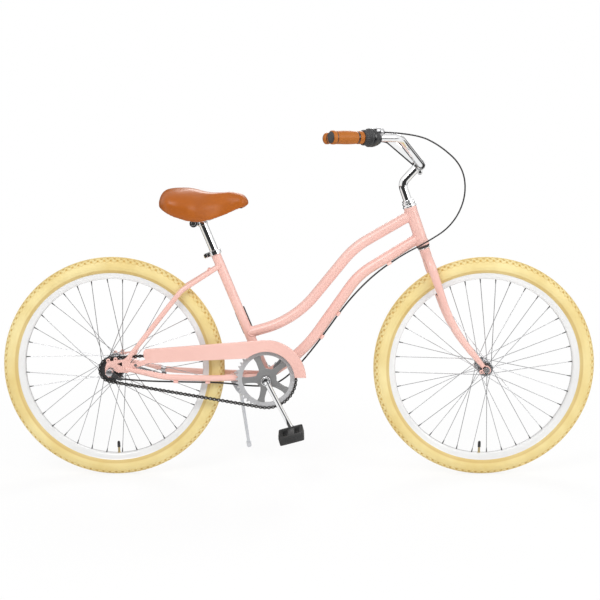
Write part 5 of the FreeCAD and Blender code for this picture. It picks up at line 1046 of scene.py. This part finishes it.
def saddle_form(shrink):
    """Sections across the saddle: a crowned top, full sides and a flat underside. Towards both ends each
    section shrinks as a quarter circle does, towards a tip at mid-height."""
    ahead = SADDLE_LONG / 2 * (1 - np.cos(np.linspace(0, np.pi, 72)))
    nose = quarter((SADDLE_LONG - ahead) / NOSE_ROUND)
    tip = np.interp(ahead, [0, SADDLE_LONG], [817.0, 827.0])
    high = tip + (flow(ahead, TOP_LINE) - shrink - tip) * quarter(ahead / 30.0) * nose
    low = tip - (tip - flow(ahead, LOW_LINE)) * quarter(ahead / 26.0) * nose
    half = half_width(ahead) - shrink * quarter(ahead / TAIL_ROUND) * nose
    angle = around(72)
    c, s = np.cos(angle), np.sin(angle)
    wide = np.sign(c) * np.abs(c) ** np.where(s > 0, 0.78, 0.28)
    tall = np.where(s > 0, np.abs(s) ** 0.95, -np.abs(s) ** 0.28)
    waist = low + 0.4 * (high - low)
    y = half[:, None] * wide * np.where(s > 0, 1.0, 0.92 + 0.08 * (1 + np.minimum(tall, 0)))
    z = waist[:, None] + np.where(tall > 0, (high - waist)[:, None] * tall, (waist - low)[:, None] * tall)
    x = np.broadcast_to((TAIL_X + ahead)[:, None], y.shape)
    return shell(np.stack([x, y, z], -1) * MM, size=(0.3, 0.5))


# %% [markdown]
# ## Stuffing
# The form is divided evenly, blown up like a cushion for a moment, and held back where it would grow too far.
# Then the underside is pushed up where the pan sits.

# %% Stuffing
STUFFED_GRID, STUFFED_FRAMES, AIR = 0.005, 20, 4.0
PAN_SHARE, PAN_START, PAN_STOP, PAN_SLOPE = 0.80, 20.0, 246.0, 6.0


def settle(obj):
    """The mesh as its modifiers leave it, with none of them kept."""
    mesh = bpy.data.meshes.new_from_object(obj.evaluated_get(bpy.context.evaluated_depsgraph_get()))
    obj.modifiers.clear()
    obj.data = mesh


def swell(obj, cap):
    """Air pressure on a remeshed copy for a few frames; no point moves further than the cap, and the hide's
    lower edge, which is tacked to the pan, stays where it is."""
    remesh = obj.modifiers.new("even", "REMESH")
    remesh.mode, remesh.voxel_size = "VOXEL", STUFFED_GRID
    settle(obj)
    rest = points_of(obj.data)
    cloth = obj.modifiers.new("stuffing", "CLOTH")
    cloth.settings.use_pressure, cloth.settings.uniform_pressure_force = True, AIR
    cloth.settings.effector_weights.gravity = 0.0
    cloth.settings.tension_stiffness = cloth.settings.compression_stiffness = 40.0
    for number in range(1, STUFFED_FRAMES + 1):
        scene.frame_set(number)
    settle(obj)
    shift = points_of(obj.data) - rest
    far = np.maximum(np.linalg.norm(shift, axis=1, keepdims=True), 1e-9)
    x, _, z = rest.T / MM
    loose = np.clip((z - flow(np.clip(x - TAIL_X, 0, SADDLE_LONG), LOW_LINE)) / 30.0, 0, 1)[:, None]
    obj.data.vertices.foreach_set("co", (rest + shift * loose * np.minimum(1.0, cap / far)).ravel())
    scene.frame_set(1)


def hollow(obj):
    """The pan's room under the cushion: points of the underside well inside the edge rise to the pan."""
    x, y, z = points_of(obj.data).T / MM
    ahead = np.clip(x - TAIL_X, 0, SADDLE_LONG)
    along = np.minimum(ahead - PAN_START, PAN_STOP - ahead)
    inside = np.minimum(PAN_SHARE * half_width(ahead) - np.abs(y), along)
    lift = np.clip(inside / PAN_SLOPE, 0, 1) * (z < 816.0)
    obj.data.vertices.foreach_set("co", (np.stack([x, y, z + (PAN_TOP - z) * lift], -1) * MM).ravel())


saddle = piece("saddle_skin", [saddle_form(2.5)], hide, "saddle", "saddle_cushion", slot="saddle", sharp=180)
swell(saddle, 0.006)
hollow(saddle)
smooth = saddle.modifiers.new("smooth", "SUBSURF")
smooth.levels = smooth.render_levels = 1
saddle.data.polygons.foreach_set("use_smooth", np.ones(len(saddle.data.polygons), bool))
print("saddle faces", len(saddle.data.polygons))

# %% [markdown]
# ## Under the saddle
# Two steel rails bend down from the pan to a clamp on the seat post. Round side plates and a bolt across
# them let the saddle tilt.

# %% Rails and clamp
PIVOT = np.array([-310.672, 0.0, 766.935])
rail_line, _ = bent([(-181, 12, 812), PIVOT + [42, 20, 10], PIVOT + [-30, 20, 10], (-381, 42, 812)], [40, 40])
rail = tube(rail_line, 3.5, 20)
plate_line = [(4, 10.3), (10.8, 10.3), (12, 11.4), (12, 22.6), (11.2, 24.0), (8.6, 24.3), (8.0, 23.6),
              (4, 23.6)]
plates = both_sides(plate_line, PIVOT, 48)
bolt_line = balanced((0, -28.3), (6.0, -28.3), (6.6, -27.4), (6.6, -24.0), (4.0, -23.8))
tilt_bolt = spin(bolt_line, PIVOT, Y_AXIS, 32)
piece("rails_and_clamp", [rail, mirror(rail)] + plates + [tilt_bolt], chrome, "saddle", "saddle_rails",
      slot="steel")

# %% [markdown]
# ## Seat post
# The post slides in the seat tube and carries an ear for the tilt bolt.

# %% Seat post
post_line = [(0, 290), (12.2, 290), (12.7, 290.6), (12.7, 507.6), (11.6, 509), (0, 509)]
post = spin(post_line, BRACKET, SEAT_WAY, 56)
collar_line = [(12.5, 491), (13.8, 491), (14.5, 491.8), (14.5, 507.6), (13.6, 509), (12.5, 509)]
post_collar = spin(collar_line, BRACKET, SEAT_WAY, 56, ring=True)
ear_ring = spin(balanced((4.1, -10), (10.2, -10), (11, -9.2)), PIVOT, Y_AXIS, 40, ring=True)
web_corners = flat(PIVOT) + np.array([(4, -7), (24, -7), (24, 7), (4, 7)])
web = pressed(web_corners, [(1.0, -9.6), (0, -8.6), (0, 8.6), (1.0, 9.6)])
piece("seat_post_skin", [post, post_collar, ear_ring, web], chrome, "seat_pillar", "seat_post", slot="chrome")

# %% [markdown]
# ## Split collar
# A ring round the top of the seat tube, with two ears behind it and a bolt that pulls them together.

# %% Split collar
back_way = np.array([-SEAT_WAY[2], 0.0, SEAT_WAY[0]])
split_line = [(14.4, -14), (17.2, -14), (18.2, -13), (18.2, -1), (17.2, 0), (14.4, 0)]
split_ring = spin(split_line, on_seat(SEAT_TOP), SEAT_WAY, 56, ring=True)
ear_corners = ((-13.4, 14), (-0.6, 14), (-0.6, 34.5), (-13.4, 34.5))
ear_places = [on_seat(SEAT_TOP + up) + back_way * back for up, back in ear_corners]
ear_outline = eased([flat(place) for place in ear_places], 4.0, closed=True)
ear_steps = [(0.8, 1.2), (0, 2.0), (0, 8.2), (0.8, 9)]
split_ears = [pressed(ear_outline, [(amount, side * y) for amount, y in ear_steps]) for side in (1, -1)]
split_bolt = on_seat(SEAT_TOP - 7.0) + back_way * 27.55
bolt_heads = both_sides([(0, 9), (6, 9), (6, 12.8), (4.8, 14), (0, 14)], split_bolt, 6, ring=False)
bolt_rod = spin(sleeve(0, 3, -9, 9), split_bolt, Y_AXIS, 20)
piece("split_collar", [split_ring, bolt_rod] + split_ears + bolt_heads, chrome, "frame", "seat_clamp",
      slot="steel")

# %% [markdown]
# ## Chainring
# The ring is a toothed band whose outer radius is a function of the angle. Five arms join it to a hub.

# %% Chainring
PITCH, CHAIN_Y = 12.7, -47.0
RING_TEETH, COG_TEETH = 44, 18
RING_R, COG_R = [PITCH / 2 / math.sin(math.pi / teeth) for teeth in (RING_TEETH, COG_TEETH)]
ARM_HALF = [(20, 15), (34, 9.5), (60, 8.4), (72.5, 12.5)]
ARM_STEPS = [(0.7, -48.9), (0.0, -48.3), (0.0, -45.7), (0.7, -45.1)]
DRIVE = unit(BRACKET - REAR)
DRIVE_UP = np.array([-DRIVE[2], 0.0, DRIVE[0]])


def ring_points(centre, radius, angle, ahead):
    """Places on a circle in the plane of the chain."""
    return centre + radius * spokes(angle, ahead, DRIVE_UP)


def toothed_band(centre, ahead, teeth, pitch_radius, inner, thickness, fine=12):
    """Ring whose outer edge rises and falls once a tooth, eased on both faces."""
    angle = around(teeth * fine)
    wave = 1 - np.abs(2 * np.mod(teeth * angle / (2 * np.pi), 1.0) - 1)
    outer = pitch_radius - 4.2 + 7.4 * np.clip(1.5 * wave - 0.35, 0, 1)
    half = thickness / 2
    inner_rows = [(inner + 0.6, -half), (inner, -half + 0.5), (inner, half - 0.5), (inner + 0.6, half)]
    outer_rows = [(-1.4, half), (0.0, half * 0.35), (0.0, -half * 0.35), (-1.4, -half)]
    ones = np.ones((len(angle), 1))
    rows = [ring_points(centre + [0, y, 0], r * ones, angle, ahead) for r, y in inner_rows]
    rows += [ring_points(centre + [0, y, 0], (outer + d)[:, None], angle, ahead) for d, y in outer_rows]
    return shell(np.array(rows) * MM, ring=True)


ring_centre = BRACKET + [0, CHAIN_Y, 0]
band = toothed_band(ring_centre, DRIVE, RING_TEETH, RING_R, 71.0, 2.6)
arm_shells = []
for number in range(5):
    ray = facing(41.0 + 72.0 * number)
    side = square_to(ray)
    corners = [ray * out + side * wide for out, wide in ARM_HALF]
    corners += [ray * out - side * wide for out, wide in reversed(ARM_HALF)]
    outline = eased(corners, 7.0, closed=True, steps=4) + flat(BRACKET)
    arm_shells.append(pressed(outline, ARM_STEPS))
hub_disc = spin(balanced((12.0, -2.2), (30.0, -2.2), (31.0, -1.0)), ring_centre, Y_AXIS, 72, 0.5, ring=True)
piece("chainring_band", [band], ring_steel, "crankset", "chainring", slot="steel")
piece("chainring_spider", arm_shells + [hub_disc], grey_steel, "crankset", slot="steel")

# %% [markdown]
# ## Chain
# The chain is one link shape set at every pitch of its loop: round the ring, along the lower run,
# round the cog and back. Narrow and wide links take turns.

# %% Chain
RING_WRAP, COG_WRAP, RUN_LINKS = 24, 8, 36
ring_half, cog_half = math.radians(RING_WRAP * 180 / RING_TEETH), math.radians(COG_WRAP * 180 / COG_TEETH)
ring_places = ring_points(ring_centre, RING_R, np.linspace(ring_half, -ring_half, RING_WRAP + 1), DRIVE)
cog_centre = REAR + [0, CHAIN_Y, 0]
cog_places = ring_points(cog_centre, COG_R, np.linspace(-cog_half, cog_half, COG_WRAP + 1), -DRIVE)
run = np.linspace(0, 1, RUN_LINKS + 1)[1:-1, None]
rollers = np.concatenate([ring_places, ring_places[-1] + (cog_places[0] - ring_places[-1]) * run, cog_places,
                          cog_places[-1] + (ring_places[0] - cog_places[-1]) * run])
after = np.roll(rollers, -1, 0)
along = unit(after - rollers)
axes = np.stack([along, np.tile(Y_AXIS, (len(along), 1)), np.cross(along, Y_AXIS)], 1)
end_bow = [PITCH / 2, 0] + arc(4.6, -112, 112, 8)
waisted = np.concatenate([end_bow, [[0.0, 2.5]], -end_bow, [[0.0, -2.5]]])


def link_plates(offset):
    """Both side plates of a link: a waisted outline between two planes, on each side of the rollers."""
    return [pressed(waisted, [(0.0, side * offset), (0.0, side * (offset + 1.1))]) for side in (1, -1)]


pin = spin(balanced((0, -4.7), (1.7, -4.7), (2.1, -4.3)), np.zeros(3), Y_AXIS, 8)
roller = spin(sleeve(0, 3.9, -1.6, 1.6), np.zeros(3), Y_AXIS, 10)
middles = (rollers + after) / 2 * MM
links = [copies(plate, middles[0::2], axes[0::2]) for plate in link_plates(1.65)]
links += [copies(plate, middles[1::2], axes[1::2]) for plate in link_plates(2.85)]
piece("chain_links", links + [copies(roller, rollers * MM, axes)], oiled, "frame", "chain", slot="chain")
piece("chain_pins", [copies(pin, rollers * MM, axes)], steel, "frame", slot="chain")

# %% [markdown]
# ## Cranks
# The two cranks are one shape in opposite directions. The arm is a round bar that swells towards both ends.

# %% Cranks
CRANK_LONG, CRANK_RAY = 165.0, facing(-62.8)
BOSS_LINE = balanced((8.5, -8.75), (13.0, -8.75), (14.0, -7.5))
LOOP_LINE = balanced((6.0, -8.75), (10.0, -8.75), (11.0, -7.6))


def crank(side):
    """One crank: boss, neck, a round arm that swells towards both ends, and the pedal eye."""
    way = np.insert(CRANK_RAY, 1, 0.0) * -side
    middle = BRACKET + [0, side * 79.0, 0]
    station = np.linspace(0, 1, 24)
    radius = 7.6 + 2.2 * np.exp(-station * 9) + 1.6 * np.exp(-(1 - station) * 11)
    arm = tube(middle + way * CRANK_LONG * station[:, None], radius, 36)
    boss = spin(BOSS_LINE, middle, Y_AXIS * side, 48, 1.0, ring=True)
    neck = spin(sleeve(8.6, 12.0, 42.0, 71.0), BRACKET, Y_AXIS * side, 48, 1.0, ring=True)
    loop = spin(LOOP_LINE, middle + way * CRANK_LONG, Y_AXIS * side, 40, 1.0, ring=True)
    return [arm, boss, neck, loop]


for name, side in (("right", -1), ("left", 1)):
    piece(f"crank_{name}_skin", crank(side), chrome, "crankset", "crank_" + name, slot="chrome")

# %% [markdown]
# ## Pedals
# Each pedal is a moulded block: a wall at either end, two ribbed rails between them, a web over the
# spindle and slots beside it. The blocks are rounded outlines carried across the bicycle, turned to the
# pedal's own tilt.

# %% Pedals
def pedal(side, tilt, eye):
    """Walls, rails and web as pressed outlines, the ribs and the oval on the end wall as thin round bars."""
    ray = facing(tilt)
    lift = square_to(ray)

    def place(u, v):
        """X and Z of places along and square to the pedal."""
        return eye + np.multiply.outer(u, ray) + np.multiply.outer(v, lift)

    def level(xz, y):
        """The same places at a distance out from the middle of the bicycle."""
        return np.stack([xz[:, 0], np.broadcast_to(side * y, len(xz)), xz[:, 1]], -1)

    def block(u0, u1, v, r, y0, y1, ease):
        """A bar with rounded corners between two distances out, eased at both ends."""
        corners = eased(np.array([(u0, -v), (u1, -v), (u1, v), (u0, v)], float), r, closed=True, steps=5)
        part = ease * 0.3
        steps = [(ease, y0), (part, y0 + part), (0, y0 + ease), (0, y1 - ease), (part, y1 - part), (ease, y1)]
        return pressed(place(corners[:, 0], corners[:, 1]), [(amount, side * y) for amount, y in steps])

    parts = [block(-36, 36, 12.6, 9, 178.5, 191, 5.0), block(-36, 36, 12.6, 9, 91.1, 103, 5.0),
             block(-11, 11, 9, 4, 100, 182, 1), block(26, 36, 12.6, 4, 96, 186, 1),
             block(-36, -26, 12.6, 4, 96, 186, 1)]
    rib_at = np.repeat(np.linspace(108, 174, 9), 4)
    u, v = np.tile([26.5, 26.5, -35.5, -35.5], 9), np.tile([12.5, -12.5], 18)
    parts += bars(level(place(u, v), rib_at), level(place(u + 9, v), rib_at), [np.inf, 0.0], [1.1, 1.1], 6)
    loop = around(40)
    oval = place(15 * np.cos(loop), 6.5 * np.sin(loop))
    parts.append(tube(level(oval, 191.0), 1.1, 10, ring=True))
    parts.append(spin(sleeve(0, 5.9, 70.6, 94), np.insert(eye, 1, 0.0), Y_AXIS * side, 24))
    return parts


for name, side, tilt in (("right", -1, 15.0), ("left", 1, -67.8)):
    shells = pedal(side, tilt, flat(BRACKET) - side * CRANK_LONG * CRANK_RAY)
    piece(f"pedal_{name}_skin", shells, rubber, name + "_pedal", "pedal_" + name, slot="black")

# %% [markdown]
# ## Kickstand
# A slim round leg hangs from an eye under the bracket and ends in a thicker foot.

# %% Kickstand
HINGE, FOOT = np.array([-180.0, 23.8, 262.0]), np.array([-156.5, 95.0, 57.0])
leg_way = unit(FOOT - HINGE)
leg = tube([HINGE, HINGE + leg_way * 30, FOOT - leg_way * 4], [5.6, 5.25, 5.0], 28)
hinge_eye = spin(balanced((4.1, -6.5), (8.6, -6.5), (9.5, -5.6)), HINGE, Y_AXIS, 40, ring=True)
foot_line = [(4.8, -20), (6.8, -19.4), (7.5, -17.5), (7.5, -3), (6.4, -0.6), (4, 0), (0, 0)]
foot_pad = spin(foot_line, FOOT, leg_way, 32)
piece("kickstand_rod", [leg, hinge_eye], cast, "kickstand", "kickstand_leg", slot="aluminium")
piece("kickstand_foot", [foot_pad], cast, "kickstand", slot="aluminium")

# %% [markdown]
# ## Chain guard
# A pressed pan: one outline carried through a rounded edge, down the rim and back inside.

# %% Chain guard
GUARD_OUTER, GUARD_INNER = 119.0, 85.0


def guard_outline():
    """Outline of the guard: straight top, a round front over the ring, back along the belly, a round tail."""
    sines = [6.0 / GUARD_OUTER, 6.0 / GUARD_INNER, 65.0 / GUARD_INNER]
    tip_outer, tip_inner, waist = np.degrees(np.arcsin(sines))
    front = flat(BRACKET) + arc(GUARD_OUTER, 94.0, tip_outer, 40)
    back = flat(BRACKET) + arc(GUARD_INNER, tip_inner, 180.0 - waist, 40)
    tail_low, tail_top = np.array([-438.0, 357.0]), np.array([-453.0, 398.0])
    middle, half = (tail_low + tail_top) / 2, (tail_top - tail_low) / 2
    t = np.linspace(0, np.pi, 16)[1:-1, None]
    tail = middle - half * np.cos(t) + np.array([-13.0, -3.0]) * np.sin(t)
    top = np.linspace(tail_top, front[0], 12)[:-1]
    belly = np.linspace(back[-1], tail_low, 12)[1:]
    return np.concatenate([top, front, back, belly, tail])


guard_steps = [(1.6, -66.5), (0.6, -66.2), (0.0, -65.4), (0.0, -58.2), (0.3, -58.0), (1.2, -58.0),
               (1.5, -58.3), (1.5, -64.0), (2.4, -65.0)]
tab_corners = [(-491.5, 344), (-467.5, 348), (-430, 362), (-430, 376), (-491.5, 356)]
tab = pressed(tab_corners, [(0.5, -66.4), (0.0, -66.0), (0.0, -65.3), (0.4, -65.0)])
painted("chain_guard_skin", [pressed(guard_outline(), guard_steps), tab], "chain_guard")

# %% [markdown]
# ## Floor
# A white floor keeps the bicycle's shadow and fades to the white of the backdrop further out. Chrome sees
# it darken to both sides, as the floor of a studio does beyond the paper.

# %% Floor
FLOOR_HALF, FLOOR_Z = 9.0, -0.0004
DARK_WALL, ROOM_LIGHT = 0.04, 0.55
floor_mesh = bpy.data.meshes.new("floor")
floor_corners = [(x * FLOOR_HALF, y * FLOOR_HALF, FLOOR_Z) for x, y in ((-1, -1), (1, -1), (1, 1), (-1, 1))]
floor_mesh.from_pydata(floor_corners, [], [(0, 1, 2, 3)])
floor = bpy.data.objects.new("floor", floor_mesh)
scene.collection.objects.link(floor)
paper = bpy.data.materials.new("white_paper")
paper.use_nodes = True
tree = paper.node_tree
tree.nodes.clear()
where = put(tree, "ShaderNodeTexCoord").outputs["Object"]
far = put(tree, "ShaderNodeVectorMath", {"operation": "LENGTH"}, _0=where).outputs["Value"]
fade = remap(tree, far, 0.8, 2.0, 0.86, 1.0)
path = put(tree, "ShaderNodeLightPath").outputs
seen = maths(tree, "MAXIMUM", path["Is Camera Ray"], path["Is Glossy Ray"])
seen = maths(tree, "MAXIMUM", seen, path["Is Transmission Ray"])
share = maths(tree, "MULTIPLY", seen, fade)
matt = put(tree, "ShaderNodeBsdfDiffuse", Color=(0.92, 0.92, 0.92, 1))
mirrored = remap(tree, sideways(tree, where), 0.7, 1.3, 1.0, DARK_WALL)
level = between(tree, path["Is Glossy Ray"], 1.0, mirrored)
glow = put(tree, "ShaderNodeEmission", Color=(1, 1, 1, 1), Strength=level)
blend = put(tree, "ShaderNodeMixShader", _0=share, _1=matt.outputs["BSDF"], _2=glow.outputs["Emission"])
put(tree, "ShaderNodeOutputMaterial", Surface=blend.outputs["Shader"])
floor_mesh.materials.append(paper)

# %% [markdown]
# ## Room
# The camera sees plain white. Chrome sees a room with darker side walls, which gives it its dark stripes,
# and everything else takes an even, weaker light.

# %% Room
world = bpy.data.worlds.new("studio")
scene.world = world
world.use_nodes = True
tree = world.node_tree
tree.nodes.clear()
path = put(tree, "ShaderNodeLightPath").outputs
way = put(tree, "ShaderNodeTexCoord").outputs["Generated"]
walls = remap(tree, sideways(tree, way), 0.62, 0.84, 1.0, DARK_WALL)
level = between(tree, path["Is Diffuse Ray"], walls, ROOM_LIGHT)
level = between(tree, path["Is Camera Ray"], level, 1.0)
sky = put(tree, "ShaderNodeBackground", Color=(1, 1, 1, 1), Strength=level)
put(tree, "ShaderNodeOutputWorld", Surface=sky.outputs["Background"])

# %% [markdown]
# ## Lamps
# Three large panels: a key light in front on the left, a fill on the right and one behind.

# %% Lamps
def panel(name, place, target, size, power):
    """A soft rectangular light that faces a target."""
    lamp = bpy.data.lights.new(name, "AREA")
    lamp.shape, lamp.size, lamp.size_y, lamp.energy = "RECTANGLE", size[0], size[1], power
    obj = bpy.data.objects.new(name, lamp)
    obj.location = place
    obj.rotation_euler = (Vector(place) - Vector(target)).to_track_quat("Z", "Y").to_euler()
    scene.collection.objects.link(obj)


panel("key", (-1.2, -2.6, 2.8), (0, 0, 0.5), (1.6, 1.6), 55)
panel("fill", (2.4, -1.8, 1.8), (0, 0, 0.5), (1.4, 1.4), 26)
panel("back", (0.4, 2.6, 2.4), (0, 0, 0.5), (2.0, 1.2), 40)
scene.view_settings.view_transform = "Standard"
print("lights set")

# %% Last update
bpy.context.view_layer.update()
